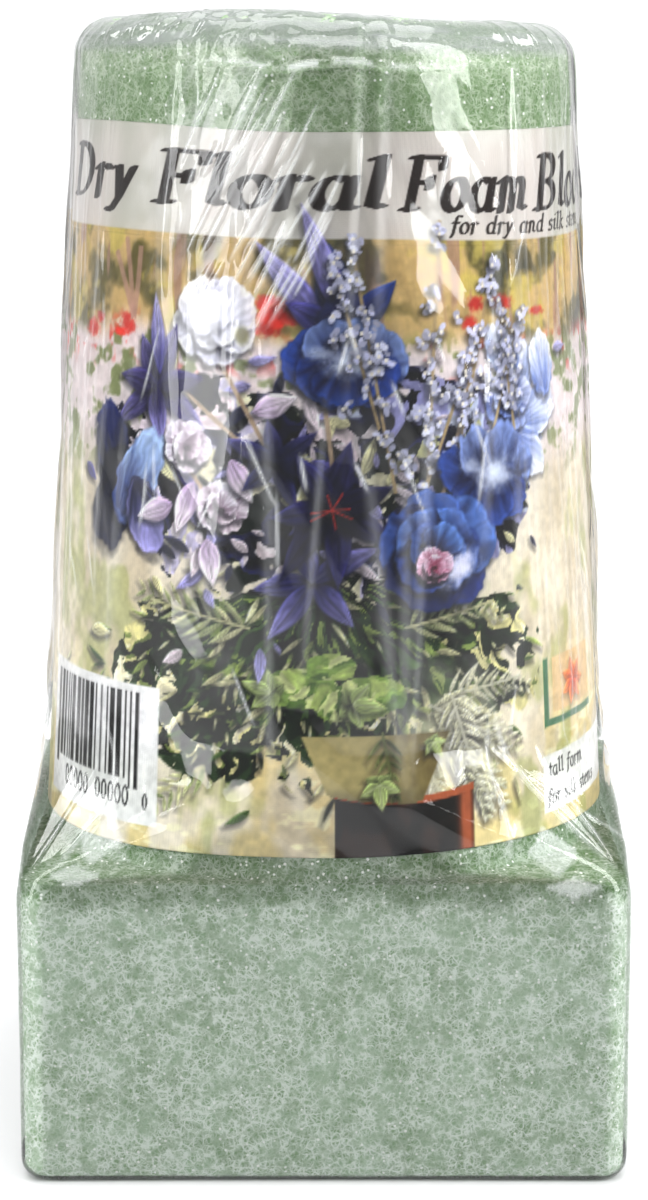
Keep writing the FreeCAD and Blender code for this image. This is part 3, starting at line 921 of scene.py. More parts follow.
def paint_garden(sheet):
    """Out-of-focus garden behind the flowers: trees above, a flower border, lawn below."""
    place, gx, gy = sheet.area(0, 45, 400, 100)

    def patches(size, seed, low, high, layers=3, wide=1.0, tall=1.0):
        return smooth_step(clouds(gx * wide, gy * tall, size, seed, layers), low, high)

    wobble = 5.0 * (clouds(gx, gy, 14.0, 3) - 0.5)
    low = 1 - smooth_step(gy, 12, 30)
    lawn = mix(LAWN, LAWN_LIGHT, patches(5.0, 21, 0.3, 0.7, tall=0.45))
    lawn = mix(lawn, LAWN_GOLD, 0.9 * patches(4.0, 27, 0.42, 0.66, tall=0.5) * low)
    lawn = mix(lawn, rgb(250, 246, 214), 0.8 * patches(2.2, 29, 0.6, 0.75, wide=0.7, tall=1.5) * low)
    lawn = mix(lawn, rgb(160, 168, 96), 0.5 * patches(4.0, 33, 0.55, 0.75, tall=0.6))
    trees = mix(rgb(208, 182, 128), rgb(112, 104, 60), patches(6.0, 41, 0.45, 0.62, 4))
    trees = mix(trees, rgb(206, 190, 106), 0.85 * patches(4.0, 47, 0.52, 0.68, 4))
    trees = mix(trees, rgb(176, 140, 126), 0.75 * patches(4.0, 53, 0.62, 0.70, wide=1.8, tall=0.3))
    trees = mix(trees, rgb(40, 44, 34), 0.55 * patches(5.0, 59, 0.62, 0.74))
    border = mix(rgb(222, 208, 210), rgb(242, 234, 234), clouds(gx, gy, 2.0, 61))
    reds = patches(2.4, 67, 0.56, 0.66) * smooth_step(gy + wobble, 59, 63)
    border = mix(border, rgb(228, 84, 76), 0.85 * reds)
    border = mix(border, rgb(118, 132, 74), 0.8 * patches(2.2, 71, 0.56, 0.70))
    scene = mix(lawn, border, smooth_step(gy + wobble, 45, 54))
    sheet.colour[place] = mix(scene, trees, smooth_step(gy + wobble, 63, 67))
    rng = np.random.RandomState(3)
    for centre in (0.0, BACK_CENTRE):
        for x, low, high, count in ((-3, 66, 70, 26), (-33, 64, 67, 5), (26, 66, 70, 5)):
            for _ in range(count):
                px, py = centre + x + rng.uniform(-6.5, 6.5), rng.uniform(low, high)
                wide, tall = rng.uniform(0.7, 1.6), rng.uniform(0.5, 1.0)
                tone = rgb(220, 66, 54) * rng.uniform(0.8, 1.1)
                paint_blob(sheet, px, py, wide, tall, tone, soft=0.6, ragged=1.0, seed=rng.randint(99))
        for turn, length in ((112, 9), (80, 9), (97, 10)):
            paint_line(sheet, centre - 27.5, 66.5, turn, length, 0.9, rgb(186, 152, 138), 0.06, 0.8)


def paint_mosaic(sheet, x, y, wide, tall, dark, pale, share, size, seed, heart=None):
    """Dense leafy or flowery mass: crisp scraps of pale tones between dark ones, ragged at its edge.

    With a heart given, the scraps are long and point away from it, like leaves.
    """
    place, gx, gy = sheet.area(x, y, wide * 1.4, tall * 1.4)
    if heart is None:
        ux, uy = gx, gy
    else:
        ux = 18.0 * np.arctan2(gx - heart[0], gy - heart[1])
        uy = 0.40 * np.hypot(gx - heart[0], gy - heart[1])
    wx = ux + 1.6 * size * (cloud(gx, gy, size * 2.0, seed) - 0.5)
    wy = uy + 1.6 * size * (cloud(gx, gy, size * 2.0, seed + 1) - 0.5)
    cut = clouds(wx, wy, size, seed + 2, 3)
    pick = clouds(wx + 50, wy + 20, size * 1.3, seed + 3, 2)
    sheen = 0.72 + 0.5 * clouds(wx, wy, size * 0.4, seed + 4, 2)

    def choose(tones):
        level = smooth_step(pick, 0.25, 0.75) * (len(tones) - 1)
        colour = np.broadcast_to(tones[0], gx.shape + (3,))
        for k, tone in enumerate(tones[1:]):
            colour = mix(colour, tone, smooth_step(level, k + 0.42, k + 0.58))
        return colour

    limit = np.percentile(cut, 100 * (1 - share))
    tone = mix(choose(dark), choose(pale), smooth_step(cut, limit - 0.012, limit + 0.012))
    far = np.hypot((gx - x) / wide, (gy - y) / tall)
    far = far + 0.85 * (clouds(wx, wy, size * 2.0, seed + 5, 3) - 0.5)
    sheet.lay(place, 1 - smooth_step(far, 0.93, 0.97), np.clip(tone * sheen[..., None], 0, 1))


def paint_foliage(sheet, centre):
    """Dark mass of leaves below the flowers, with pale leaves catching the light."""
    rng = np.random.RandomState(91)
    shade = [rgb(8, 14, 8), rgb(20, 36, 16), rgb(40, 66, 32)]
    bright = [rgb(120, 136, 70), rgb(222, 216, 160), rgb(248, 242, 212)]
    moss = [rgb(96, 130, 52), rgb(142, 172, 84), rgb(176, 196, 112)]
    moss_light = [rgb(214, 222, 160), rgb(190, 208, 124)]
    heart = (centre, 36.0)

    def paint_ferns(places):
        for x, y, turn, length in places:
            seed = rng.randint(999)
            paint_fern(sheet, centre + x, y, turn, length, LEAF_PALE, LEAF, seed, bend=rng.uniform(-22, 10))

    def paint_dry_ferns(places, pale, dark):
        for x, y, turn, length in places:
            paint_fern(sheet, centre + x, y, turn, length, pale, dark, rng.randint(999), bend=-16)

    paint_ferns(((-9, 15, 208, 16), (9, 25, -8, 17), (-14, 22, 194, 15)))
    paint_mosaic(sheet, centre - 12, 21, 19, 11, shade, bright, 0.36, 0.95, 501, heart)
    paint_mosaic(sheet, centre + 11, 23, 19, 11, shade, bright, 0.34, 0.95, 511, heart)
    mid_green = [rgb(66, 96, 44), rgb(140, 160, 86)]
    paint_mosaic(sheet, centre - 2, 26, 21, 9.5, shade, mid_green, 0.28, 1.0, 521, heart)
    tones = ((0.34, LEAF_PALE), (0.52, LEAF), (0.64, LEAF_LIME), (1, LEAF_DARK))
    for _ in range(LOOSE_LEAVES):
        x = centre + rng.normal(-1, 13)
        y = 22 + rng.normal(0, 6.5)
        tone = pick_tone(rng.rand(), tones)
        size = rng.uniform(1.2, 3.8)
        away = math.degrees(math.atan2(y - heart[1], x - heart[0])) + rng.uniform(-50, 50)
        tone = np.clip(tone * rng.uniform(0.8, 1.1), 0, 1)
        paint_petal(sheet, x, y, away, size, size * rng.uniform(0.12, 0.26), tone * 0.75, tone,
                    seed=rng.randint(999), shadow=0.6, bend=rng.uniform(-0.25, 0.25))
    paint_ferns(((-9, 29, 172, 16), (10, 29, 20, 14)))
    paint_dry_ferns(((13, 18, -8, 14), (14, 15, -32, 14), (15, 20, 14, 13), (18, 13, -58, 10),
                     (12, 13, -60, 8)),
                    rgb(252, 250, 228), rgb(214, 212, 168))
    paint_blob(sheet, centre + 16.5, 14.5, 6.0, 6.5, rgb(236, 232, 204), soft=0.8, ragged=1.0, seed=4,
               strength=0.8)
    paint_dry_ferns(((13, 19, -20, 13), (14, 15, -42, 12), (16, 20, -66, 12)),
                    rgb(252, 250, 230), rgb(206, 204, 160))
    cushions = ((-3, 21.5, 5.0, 3.0, 531), (4.5, 20, 5.4, 2.8, 541), (0.5, 24.5, 3.4, 1.8, 551))
    for x, y, wide, tall, seed in cushions:
        paint_mosaic(sheet, centre + x, y, wide, tall, moss, moss_light, 0.35, 1.8, seed)
    for x, y, turn, size, seed in ((-6.5, 21.0, 160, 3.8, 300), (3.5, 19.6, -10, 4.2, 309)):
        paint_ivy(sheet, centre + x, y, turn, size, seed)


def paint_pot(sheet, centre):
    """Dark pot with a terracotta rim, below a tapering olive collar."""
    place, gx, gy = sheet.area(centre, 8, 14)
    off = gx - centre
    lip = 7.0 + 0.014 * off ** 2
    body = (1 - smooth_step(np.abs(off), 8.6, 8.8)) * (1 - smooth_step(gy, lip, lip + 0.3))
    bands = smooth_step(clouds(off * 0.8, gy * 0.3, 2.4, 5), 0.45, 0.65)
    sheet.lay(place, body, mix(rgb(12, 8, 8), rgb(62, 38, 30), bands * 0.8))
    sheet.lay(place, np.clip(ridge(off - 7.7, 1.0) * body * 1.2, 0, 1), rgb(168, 92, 60))
    rim = (1 - smooth_step(np.abs(off), 8.7, 8.9)) * (1 - smooth_step(np.abs(gy - lip), 0.35, 0.6))
    sheet.lay(place, rim, rgb(176, 96, 62))
    half = 5.6 + 0.42 * (gy - 7.0)
    inside = np.minimum(half - np.abs(off + 3.6), 15.5 - gy)
    collar = np.clip(inside / 0.3 + 0.5, 0, 1) * (gy > lip - 0.3)
    shaded = smooth_step(off + 6 * (clouds(gx, gy, 2.0, 9) - 0.5), -6, 5)
    tone = mix(rgb(196, 184, 132), rgb(120, 106, 64), shaded)
    tone = tone * (0.8 + 0.2 * smooth_step(gy, 7.2, 9.5))[..., None]
    sheet.lay(place, collar, tone)
    paint_fern(sheet, centre - 3, 16, -80, 9, rgb(150, 160, 100), LEAF_DARK, 77, pairs=6)
    for x, y, turn, size in ((-3.4, 9.2, -84, 3.4), (3.4, 14.2, -60, 2.2)):
        paint_ivy(sheet, centre + x, y, turn, size, 400 + turn)


# A broad flower's petals, back to front: place as a share of its half size, direction, half
# width and half height as shares, and how much of the bright tone its rim takes.
BLOOM_PETALS = (
    (-0.62, 0.22, 150, 0.44, 0.46, 0.0),
    (0.62, 0.22, 30, 0.44, 0.46, 0.45),
    (-0.26, 0.46, 105, 0.42, 0.50, 0.45),
    (0.30, 0.46, 78, 0.44, 0.52, 0.45),
    (-0.36, -0.22, 230, 0.46, 0.44, 0.0),
    (0.42, -0.18, -50, 0.46, 0.46, 0.0),
    (0.02, -0.30, 270, 0.52, 0.44, 0.0),
)


def paint_bloom(sheet, x, y, wide, tall, deep, middle, bright, seed):
    """Broad flower seen from its side: upright back petals, deep front petals, one strong highlight."""
    for k, (dx, dy, turn, petal_wide, petal_tall, lit) in enumerate(BLOOM_PETALS):
        px, py = x + dx * wide * 0.5, y + dy * tall * 0.6
        rim = mix(middle, bright, lit)
        paint_cup(sheet, px, py, turn, petal_wide * wide * 0.55, petal_tall * tall * 0.75, deep, rim,
                  seed + k)
    for dx, dy, size, tilt, strength in ((0.06, 0.10, 0.20, 10, 1.0), (-0.22, 0.20, 0.10, 0, 0.7)):
        paint_blob(sheet, x + dx * wide, y + dy * tall, size * wide, 0.8 * size * tall, bright,
                   tilt, 0.8, 0.8, seed, strength)


def paint_bouquet(sheet, centre):
    """Blue and white bouquet, built up from the back to the front."""
    rng = np.random.RandomState(7)
    night = [rgb(10, 10, 16), rgb(20, 20, 46), rgb(34, 36, 84), rgb(20, 30, 24)]
    chalk = [rgb(226, 212, 218), rgb(240, 232, 236), rgb(206, 200, 226), rgb(228, 224, 196)]
    haze = [rgb(150, 150, 196), rgb(206, 214, 236), rgb(200, 200, 150)]
    paint_mosaic(sheet, centre - 17, 48, 15, 12, night, chalk, 0.50, 2.6, 601)
    paint_mosaic(sheet, centre + 14, 49, 17, 12, night, haze, 0.46, 2.2, 611)
    paint_mosaic(sheet, centre - 1, 46, 14, 13, night, chalk, 0.26, 2.8, 621)
    tones = ((0.30, BLUSH), (0.48, LAVENDER), (0.62, VIOLET), (0.84, NAVY), (1, LEAF_PALE))
    for _ in range(LOOSE_PETALS):
        x = centre + rng.normal(-2, 14.5)
        y = 46 + rng.normal(0, 8.5)
        tone = pick_tone(rng.rand(), tones)
        size = rng.uniform(1.6, 5.0)
        turn, width = rng.uniform(0, 360), size * rng.uniform(0.25, 0.5)
        paint_petal(sheet, x, y, turn, size, width, np.clip(tone * 0.8, 0, 1), tone,
                    seed=rng.randint(999), bend=rng.uniform(-0.2, 0.2))
    stems = ((-3, 44, 118, 24), (-8, 50, 140, 16), (2, 40, 95, 34), (-14, 44, 128, 18), (12, 36, 70, 30))
    for x, y, turn, length in stems:
        paint_line(sheet, centre + x, y, turn, length, 0.6, rgb(186, 164, 138), bend=0.05)
    iris_petals = (
        (1, 66, 132, 15, 3.4, VIOLET, LAVENDER), (2, 67, 98, 10, 5.0, NAVY, rgb(40, 56, 130)),
        (3, 67, 112, 16, 3.2, VIOLET, LAVENDER), (3, 66, 45, 9, 3.6, NAVY, ROYAL),
        (2, 66, 152, 8, 3.4, NAVY, VIOLET), (2, 63, 84, 10, 6.4, NAVY, rgb(36, 44, 104)),
    )
    for x, y, turn, length, width, root, tip in iris_petals:
        paint_petal(sheet, centre + x, y, turn, length, width, root, tip, seed=turn)
    paint_rose(sheet, centre - 14.5, 67, 6.2, rgb(176, 176, 200), rgb(226, 226, 238), rgb(252, 252, 255),
               3, 2)
    paint_blob(sheet, centre - 16.0, 67.5, 3.2, 2.8, rgb(250, 250, 254), soft=0.9, strength=0.8)
    paint_blob(sheet, centre - 10.6, 65.4, 0.9, 1.1, rgb(160, 156, 120), soft=0.5)
    paint_lily(sheet, centre - 23, 58.5, 8.2, rgb(40, 34, 80), rgb(140, 134, 190), 5, start=20, petals=7)
    paint_petal(sheet, centre - 22.5, 60, 96, 10, 2.3, VIOLET, LAVENDER)
    left_cups = (
        (-31, 50, 110, 3.6, 6.2, NAVY * 0.7, rgb(34, 44, 104)),
        (-30, 44, 250, 4.2, 7.0, NAVY * 0.5, rgb(26, 30, 60)),
        (-26, 47, 60, 3.4, 6.6, rgb(52, 70, 128), rgb(168, 190, 224)),
        (-24.5, 42, 290, 3.0, 5.0, NAVY, LAVENDER),
    )
    for x, y, turn, wide, tall, inner, rim in left_cups:
        paint_cup(sheet, centre + x, y, turn, wide, tall, inner, rim, turn)
    for x, y, size, seed in ((-18, 51.5, 3.6, 13), (-13, 44, 3.8, 15)):
        paint_rose(sheet, centre + x, y, size, rgb(126, 104, 124), BLUSH, WHITE, seed, rings=2)
    loose_petals = ((-17, 47, 250, 7), (-12, 50, 300, 6), (-20, 44, 200, 6), (-9, 56, 20, 6),
                    (-15, 40, 280, 6))
    for x, y, turn, length in loose_petals:
        paint_petal(sheet, centre + x, y, turn, length, 3.0, rgb(190, 170, 200), rgb(236, 226, 236),
                    seed=turn)
    paint_lily(sheet, centre - 6, 50, 6.4, NAVY * 0.7, VIOLET, 19, start=40)
    paint_bloom(sheet, centre + 2.8, 61.5, 15.5, 9.5, rgb(14, 20, 60), rgb(44, 76, 158),
                rgb(226, 236, 255), 8)
    right_cups = (
        (28, 60, 70, 3.0, 4.6), (31, 55, 20, 3.2, 5.0), (29, 50, -40, 3.0, 4.2),
        (33, 61, 100, 2.6, 4.4), (25, 63, 120, 2.4, 4.0),
    )
    for x, y, turn, wide, tall in right_cups:
        paint_cup(sheet, centre + x, y, turn, wide, tall, rgb(120, 140, 196), rgb(232, 236, 250),
                  turn + 200)
    paint_rose(sheet, centre + 26, 57, 4.4, rgb(50, 66, 130), rgb(130, 150, 206), WHITE, 33, rings=2)
    sprigs = (
        (9, 46, 100, 32), (13, 44, 86, 36), (17, 48, 76, 28), (12, 44, 68, 24),
        (7, 54, 106, 22), (22, 50, 70, 20), (27, 52, 98, 18),
    )
    for k, (x, y, turn, length) in enumerate(sprigs):
        paint_sprig(sheet, centre + x, y, turn, length, rgb(186, 164, 122), rgb(214, 216, 244), 40 + k)
    paint_bloom(sheet, centre + 22.5, 46.5, 13.0, 11.5, rgb(16, 22, 60), rgb(56, 84, 160),
                rgb(224, 232, 250), 12)
    paint_lily(sheet, centre - 1.5, 35, 8.2, rgb(40, 40, 98), rgb(150, 146, 206), 23, petals=5, start=250)
    paint_lily(sheet, centre + 1, 44, 9.4, rgb(14, 12, 38), rgb(64, 62, 136), 17, 7, CORAL, 75)
    paint_rose(sheet, centre + 14.5, 38.5, 8.2, rgb(8, 12, 38), rgb(24, 44, 116), rgb(110, 148, 214), 29)
    paint_blob(sheet, centre + 17.4, 36.0, 2.6, 1.5, rgb(230, 232, 250), 40, 0.7, 0.8, seed=2)
    paint_rose(sheet, centre + 14.0, 36.6, 2.6, rgb(150, 60, 90), rgb(226, 180, 204), WHITE, 31, rings=2)


def arc(x, y, wide, tall, first, last):
    """Points along part of an ellipse, for the letters."""
    turn = np.radians(np.linspace(first, last, max(5, int(abs(last - first) / 18))))
    return [(x + wide * math.cos(t), y + tall * math.sin(t)) for t in turn]


def foot(x, y=0.0):
    """Short serif across the end of a stem."""
    return [(x - 0.12, y + 0.02), (x + 0.12, y + 0.02)]


BOWL = arc(0.27, 0.31, 0.2, 0.3, 55, 360)
STEM = [(0.16, 0), (0.16, 1)]
SHORT_STEM = [(0.02, 0.55), (0.13, 0.62), (0.12, 0.0)]
TAIL = [(0.45, 0.12)] + arc(0.52, 0.12, 0.07, 0.1, 180, 300)
# Each letter: how far it moves the pen on, and its strokes as points, in shares of the height.
LETTERS = {
    "D": (0.84, [STEM, [(0.04, 0.98), (0.32, 0.98)],
                 [(0.32, 0.98)] + arc(0.32, 0.5, 0.38, 0.48, 90, -90) + [(0.04, 0.02)]]),
    "F": (0.70, [STEM, [(0.04, 0.98), (0.64, 0.98), (0.66, 0.78)], [(0.16, 0.52), (0.46, 0.52)],
                 [(0.46, 0.42), (0.46, 0.62)], foot(0.16)]),
    "B": (0.74, [STEM, [(0.04, 0.98), (0.34, 0.98)] + arc(0.34, 0.76, 0.2, 0.22, 90, -90) + [(0.16, 0.53)],
                 [(0.16, 0.53), (0.36, 0.53)] + arc(0.36, 0.27, 0.24, 0.25, 90, -90) + [(0.04, 0.02)]]),
    "a": (0.60, [BOWL, [(0.47, 0.6)] + TAIL]),
    "c": (0.48, [arc(0.27, 0.31, 0.2, 0.3, 50, 310)]),
    "d": (0.62, [BOWL, [(0.49, 1.0)] + TAIL]),
    "e": (0.50, [[(0.09, 0.32), (0.44, 0.40)] + arc(0.27, 0.31, 0.2, 0.3, 20, 315)]),
    "f": (0.40, [arc(0.36, 0.84, 0.14, 0.15, 40, 180) + [(0.2, 0.6), (0.16, 0.0), (0.08, -0.2)],
                 [(0.06, 0.6), (0.38, 0.6)]]),
    "i": (0.32, [[(0.05, 0.56), (0.17, 0.62), (0.15, 0.1), (0.27, 0.06)], [(0.18, 0.86), (0.19, 0.87)]]),
    "k": (0.56, [[(0.05, 0.95), (0.16, 1.0), (0.14, 0.0)], [(0.14, 0.28), (0.34, 0.56), (0.44, 0.58)],
                 [(0.2, 0.34), (0.38, 0.08), (0.52, 0.06)]]),
    "l": (0.30, [[(0.05, 0.95), (0.16, 1.0), (0.14, 0.1), (0.26, 0.06)]]),
    "m": (0.86, [SHORT_STEM, arc(0.25, 0.44, 0.13, 0.17, 180, 0) + [(0.38, 0.0)],
                 arc(0.51, 0.44, 0.13, 0.17, 180, 0) + [(0.63, 0.1), (0.76, 0.06)]]),
    "n": (0.60, [SHORT_STEM, arc(0.26, 0.44, 0.14, 0.17, 180, 0) + [(0.39, 0.1), (0.52, 0.06)]]),
    "o": (0.54, [arc(0.27, 0.31, 0.2, 0.3, 0, 360)]),
    "r": (0.42, [SHORT_STEM, arc(0.27, 0.42, 0.15, 0.18, 180, 50)]),
    "s": (0.42, [arc(0.22, 0.46, 0.13, 0.14, 30, 270) + arc(0.2, 0.17, 0.15, 0.15, 90, -150)]),
    "t": (0.34, [[(0.17, 0.82), (0.14, 0.12), (0.28, 0.06)], [(0.03, 0.6), (0.31, 0.6)]]),
    "y": (0.52, [[(0.04, 0.58), (0.14, 0.6), (0.25, 0.05)],
                 [(0.46, 0.6), (0.25, 0.04), (0.1, -0.22), (0.0, -0.2)]]),
    "0": (0.58, [arc(0.27, 0.5, 0.2, 0.48, 0, 360)]),
}
LETTER_GAP = 0.04
WORD_GAP = 0.42
PEN_TURN = math.radians(18)


def paint_text(sheet, text, x, y, height, stretch=1.0, nib=(0.102, 0.036), slant=0.26, colour=INK,
               climb=0.0):
    """Line of broad-nib lettering, starting at a point on its baseline."""
    c, s = math.cos(PEN_TURN), math.sin(PEN_TURN)

    def on_nib(px, py):
        return (px * c + py * s) / nib[0], (-px * s + py * c) / nib[1]

    width = height * stretch
    for letter in text:
        if letter == " ":
            x += WORD_GAP * width
            continue
        advance, strokes = LETTERS[letter]
        place, gx, gy = sheet.area(x + 0.4 * width, y + 0.4 * height, height * (stretch + 0.3), height)
        ux, uy = gx - x, gy - y - climb * (gx - x)
        qx, qy = on_nib((ux - slant * uy) / width, uy / height)
        nearest = np.full(gx.shape, 9.0)
        for stroke in strokes:
            for first, second in zip(stroke[:-1], stroke[1:]):
                ax, ay = on_nib(*first)
                bx, by = on_nib(*second)
                dx, dy = bx - ax, by - ay
                t = np.clip(((qx - ax) * dx + (qy - ay) * dy) / (dx * dx + dy * dy + 1e-9), 0, 1)
                nearest = np.minimum(nearest, np.hypot(qx - ax - t * dx, qy - ay - t * dy))
        sharp = 0.09 / (height * nib[0])
        sheet.lay(place, 1 - smooth_step(nearest, 1 - sharp, 1 + sharp), colour)
        x += (advance + LETTER_GAP) * width
        y += climb * (advance + LETTER_GAP) * width


def paint_small_print(sheet, text, x, y, height, stretch, grey, climb):
    """Upright sans lettering of even thickness."""
    colour = rgb(grey, grey, grey + 4)
    paint_text(sheet, text, x, y, height, stretch, nib=(0.07, 0.06), slant=0.0, colour=colour, climb=climb)


def paint_panel(sheet, left, right, low, high, colour, climb=0.0):
    """Filled box with straight edges, climbing to the right if asked."""
    reach_x = (right - left) / 2 + 1
    reach_y = (high - low) / 2 + 1 + abs(climb) * (right - left)
    place, gx, gy = sheet.area((left + right) / 2, (low + high) / 2, reach_x, reach_y)
    level = gy - climb * (gx - left)
    inside = np.minimum(np.minimum(gx - left, right - gx), np.minimum(level - low, high - level))
    sheet.lay(place, np.clip(inside / 0.2 + 0.5, 0, 1), colour)


BAND_FOOT = 77.4


def paint_header(sheet):
    """Plain cream band along the label's upper edge."""
    place, gx, gy = sheet.area(0, 84, 400, 12)
    band = np.clip((gy - BAND_FOOT) / 0.25 + 0.5, 0, 1)
    tone = mix(rgb(221, 215, 211), rgb(203, 202, 194),
               smooth_step(clouds(gx, gy * 0.5, 13.0, 2), 0.4, 0.62))
    tone = mix(tone, rgb(227, 225, 221), smooth_step(clouds(gx, gy, 7.0, 6), 0.5, 0.7) * 0.8)
    sheet.lay(place, band, tone)


def paint_words(sheet, centre):
    words = (("Dry", -47.0, 1.5), ("Floral", -24.5, 1.62), ("Foam", 10.0, 1.14), ("Block", 32.5, 1.3))
    for word, x, stretch in words:
        if sheet.across[0] < centre + x and centre + x + 24 < sheet.across[-1]:
            paint_text(sheet, word, centre + x, 81.0, 6.5, stretch)


def paint_barcode(sheet):
    """White panel with random bars and a row of zeros below them."""
    climb = -0.02
    paint_panel(sheet, -46.0, -21.3, 3.2, 21.0, rgb(244, 244, 246), climb)
    rng = np.random.RandomState(5)
    x = -44.4
    while x < -25.0:
        wide = rng.choice((0.30, 0.30, 0.60, 0.90))
        bar_foot = 8.4 if -43 < x < -26.5 else 7.2
        paint_panel(sheet, x, x + wide, bar_foot, 19.6, rgb(28, 26, 28), climb)
        x += wide + rng.choice((0.32, 0.40, 0.62, 0.9))
    for x in (-40.5, -32.4):
        paint_small_print(sheet, "00000", x, 5.0, 2.5, 0.86, 40, climb)
    paint_text(sheet, "0", -23.6, 4.8, 1.9, 0.8, nib=(0.08, 0.07), slant=0.0, colour=rgb(40, 40, 44))


def paint_panels(sheet):
    """Barcode panel on the left, small print and a flower badge on the right."""
    paint_barcode(sheet)
    paint_panel(sheet, 30.4, 53.0, 2.2, 9.8, rgb(246, 246, 246), climb=0.05)
    for text, x, y in (("tall form", 31.6, 6.9), ("for silk stems", 31.2, 3.2)):
        paint_small_print(sheet, text, x, y, 2.0, 1.0, 50, 0.06)
    for left, right, low, high, colour in (
            (31.0, 32.0, 13.5, 22.5, rgb(60, 120, 84)), (31.0, 44.5, 13.5, 14.4, rgb(60, 120, 84)),
            (33.0, 44.0, 15.2, 22.5, rgb(222, 196, 150))):
        paint_panel(sheet, left, right, low, high, colour, climb=0.04)
    for k in range(BADGE_PETALS):
        turn = 51.4 * k
        paint_petal(sheet, 38.4, 18.6, turn, 3.2, 1.7, rgb(200, 90, 46), rgb(236, 150, 84), 0.0, k, 0.2)
    paint_text(sheet, "for dry and silk stems", 17.0, 78.2, 2.3, 1.30, nib=(0.085, 0.045))


def label_columns():
    """Azimuths of the sheet's grid lines in degrees, closer together at the front."""
    far = 360 + LAP_AZIMUTH + LAP_LENGTH
    spans = ((LAP_AZIMUTH, -92, 0.6), (-92, 96, 0.3), (96, far, 0.6))
    return np.concatenate([np.arange(first, last, step) for first, last, step in spans] + [[far]])


def label_rows():
    """Heights of the sheet's grid lines in millimetres, closest together in the lettered band."""
    height = LABEL_HEIGHT / MM
    change = BAND_FOOT - 0.6
    return np.concatenate([np.arange(0, change, 0.24), np.arange(change, height, 0.16), [height]])


def sheet_point(across, up, lift):
    """Place on the label: degrees round, millimetres up, and metres proud of the foam.

    The sheet was rolled on slightly askew: it stands a little higher on the left.
    """
    angle = np.radians(across)
    facing = np.cos(angle / 2) ** 2
    skew = smooth_step(-np.sin(angle), 0.1, 1.0) * facing
    share = up * MM / LABEL_HEIGHT
    height = LABEL_LOW.z + up * MM + (1.4 * share ** 3 - 1.3 * (1 - share) ** 3) * MM * skew
    right = smooth_step(np.sin(angle), 0.1, 1.0) * facing
    height = height - 1.2 * MM * right * np.sin(np.pi * share ** 6)
    reach = column_radius(height, 0.0) + lift
    return np.stack([reach * np.sin(angle), -reach * np.cos(angle), height], axis=-1)


def make_label():
    azimuth = label_columns()
    up = label_rows()
    sheet = Print(np.radians(azimuth) * MIDDLE_RADIUS / MM, up)
    paint_garden(sheet)
    paint_header(sheet)
    for centre in (0.0, BACK_CENTRE):
        paint_foliage(sheet, centre)
        paint_pot(sheet, centre + 10.0)
        paint_bouquet(sheet, centre)
        paint_words(sheet, centre)
    paint_panels(sheet)
    rows = np.concatenate([[up[0]], up, [up[-1]]])
    grid_a, grid_up = np.meshgrid(azimuth, rows)
    over_lap = smooth_step(grid_a, 360 + LAP_AZIMUTH - LAP_STEP, 360 + LAP_AZIMUTH)
    lift = PAPER + LAP_RISE * over_lap + PAPER_WAVES * (clouds(grid_a, grid_up, 9.0, 77) - 0.5)
    lift[[0, -1]] -= EDGE_TURN
    points = sheet_point(grid_a, grid_up, lift)
    faces = grid_faces(len(rows), len(azimuth), closed=False)
    piece = new_piece("label_sheet", points.reshape(-1, 3), faces, print_material())
    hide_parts("paper_label")
    edge = np.full((1, len(azimuth), 3), PAPER_WHITE)
    grain_x, grain_y = np.meshgrid(sheet.across, sheet.up)
    grain = 1.0 + PRINT_GRAIN * (clouds(grain_x, grain_y, 0.9, 701, 2) - 0.5) * (grain_y < BAND_FOOT)
    face = (np.clip(sheet.colour, 0, 1) * grain[..., None]).clip(0, 1) ** PRINT_DEPTH
    shown = np.concatenate([edge, face, edge])
    colours = np.ones((len(rows) * len(azimuth), 4), np.float32)
    colours[:, :3] = srgb_to_linear(shown).reshape(-1, 3)
    layer = piece.data.color_attributes.new("print", "FLOAT_COLOR", "POINT")
    layer.data.foreach_set("color", colours.ravel())
    return piece


# ---------------------------------------------------------------- stage, light and camera

def make_stage():
    """Pale floor that sweeps up behind the object into a backdrop."""
    half_width, front, bend_start, bend_radius, top = 3.0, -3.0, 0.5, 1.5, 3.4
    profile = [(front, 0.0), (bend_start, 0.0)]
    for k in range(1, 25):
        angle = math.radians(90 * k / 24)
        profile.append((bend_start + bend_radius * math.sin(angle), bend_radius * (1 - math.cos(angle))))
    profile.append((bend_start + bend_radius, top))
    points = [(x, y, z) for y, z in profile for x in (-half_width, half_width)]
    faces = [(2 * k, 2 * k + 1, 2 * k + 3, 2 * k + 2) for k in range(len(profile) - 1)]
    mesh = bpy.data.meshes.new("backdrop")
    mesh.from_pydata(points, [], faces)
    mesh.polygons.foreach_set("use_smooth", [True] * len(faces))
    stage = bpy.data.objects.new("backdrop", mesh)
    bpy.context.scene.collection.objects.link(stage)
    mesh.materials.append(plain_material("backdrop_paper", (0.83, 0.83, 0.835), 0.9, 0.05, 0.01))


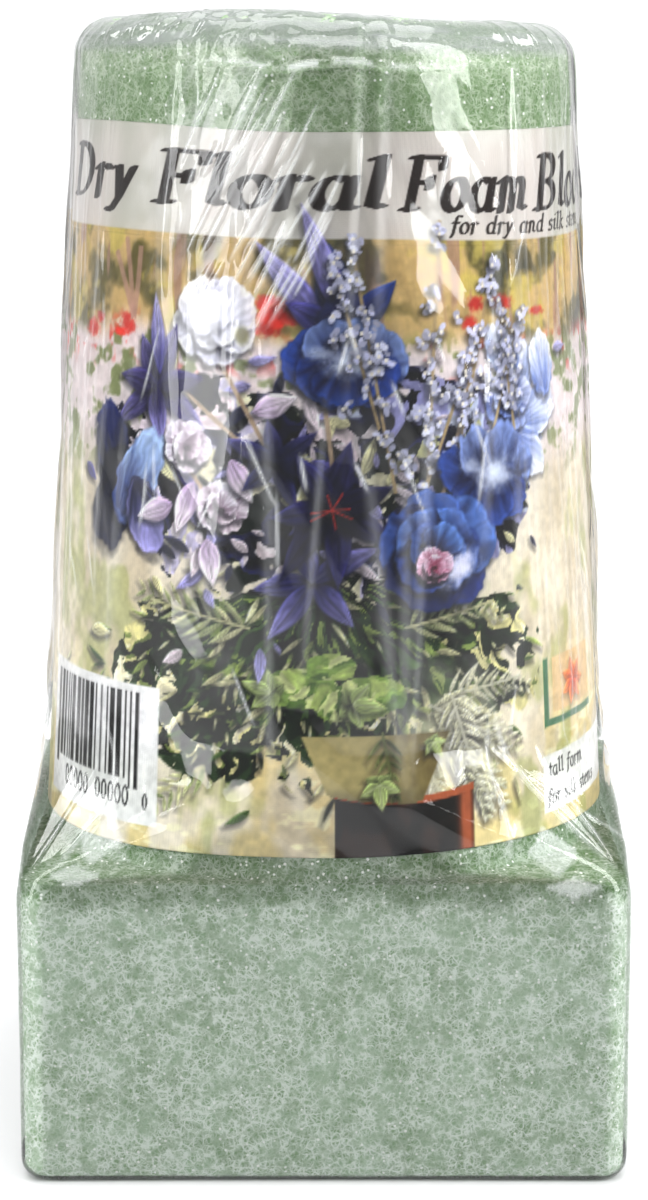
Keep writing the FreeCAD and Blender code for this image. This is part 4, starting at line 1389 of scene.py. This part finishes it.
def add_softbox(name, place, aim, width, height, power):
    """Soft rectangular light at a place, facing another."""
    data = bpy.data.lights.new(name, "AREA")
    data.shape = "RECTANGLE"
    data.size = width
    data.size_y = height
    data.energy = power
    lamp = bpy.data.objects.new(name, data)
    lamp.location = place
    lamp.rotation_euler = (Vector(aim) - lamp.location).to_track_quat("-Z", "Y").to_euler()
    bpy.context.scene.collection.objects.link(lamp)


def add_side_softbox(name, azimuth, distance, width, height, centre_height, power):
    """Upright softbox beside the camera, level with its own middle."""
    angle = math.radians(azimuth)
    place = (distance * math.sin(angle), -distance * math.cos(angle), centre_height)
    add_softbox(name, place, (0, 0, centre_height), width, height, power)


def make_light():
    add_side_softbox("right_softbox", 57, 0.62, 0.24, 0.62, 0.45, 5.0)
    add_side_softbox("left_softbox", -50, 0.75, 0.22, 0.75, 0.40, 3.9)
    add_softbox("front_softbox", (0.0, -1.3, 1.35), (0.0, 0.0, 0.0), 1.1, 1.1, 22.5)
    add_softbox("backdrop_softbox", (0.0, 0.5, 1.9), (0.0, 1.5, 0.2), 1.8, 1.8, 44.0)
    for name, side in (("right_rim_softbox", 1), ("left_rim_softbox", -1)):
        add_softbox(name, (0.64 * side, 0.40, 0.70), (0, 0, 0), 0.26, 0.26, 1.6)
    world = bpy.data.worlds.new("studio")
    world.use_nodes = True
    background = world.node_tree.nodes["Background"]
    background.inputs["Color"].default_value = (1.0, 1.0, 1.0, 1.0)
    background.inputs["Strength"].default_value = 0.22
    bpy.context.scene.world = world
    bpy.context.scene.view_settings.view_transform = "Standard"


CAMERA_DISTANCE = 0.4065
CAMERA_HEIGHT = 0.147
CAMERA_PITCH = 10.85
CAMERA_LENS = 90.7


def make_camera():
    data = bpy.data.cameras.new("camera")
    data.lens = CAMERA_LENS
    data.sensor_width = 36.0
    data.clip_start = 0.01
    camera = bpy.data.objects.new("camera", data)
    camera.location = (0.0, -CAMERA_DISTANCE, CAMERA_HEIGHT)
    camera.rotation_euler = (math.radians(90 - CAMERA_PITCH), 0.0, 0.0)
    bpy.context.scene.collection.objects.link(camera)
    bpy.context.scene.camera = camera


make_stage()
make_light()
make_camera()
make_foam()
make_label()
make_film()
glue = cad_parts["label_glue"]
glue.data.materials.clear()
glue.data.materials.append(plain_material("label_glue", (0.86, 0.82, 0.66), 0.35, 0.8 * MM, 0.25))
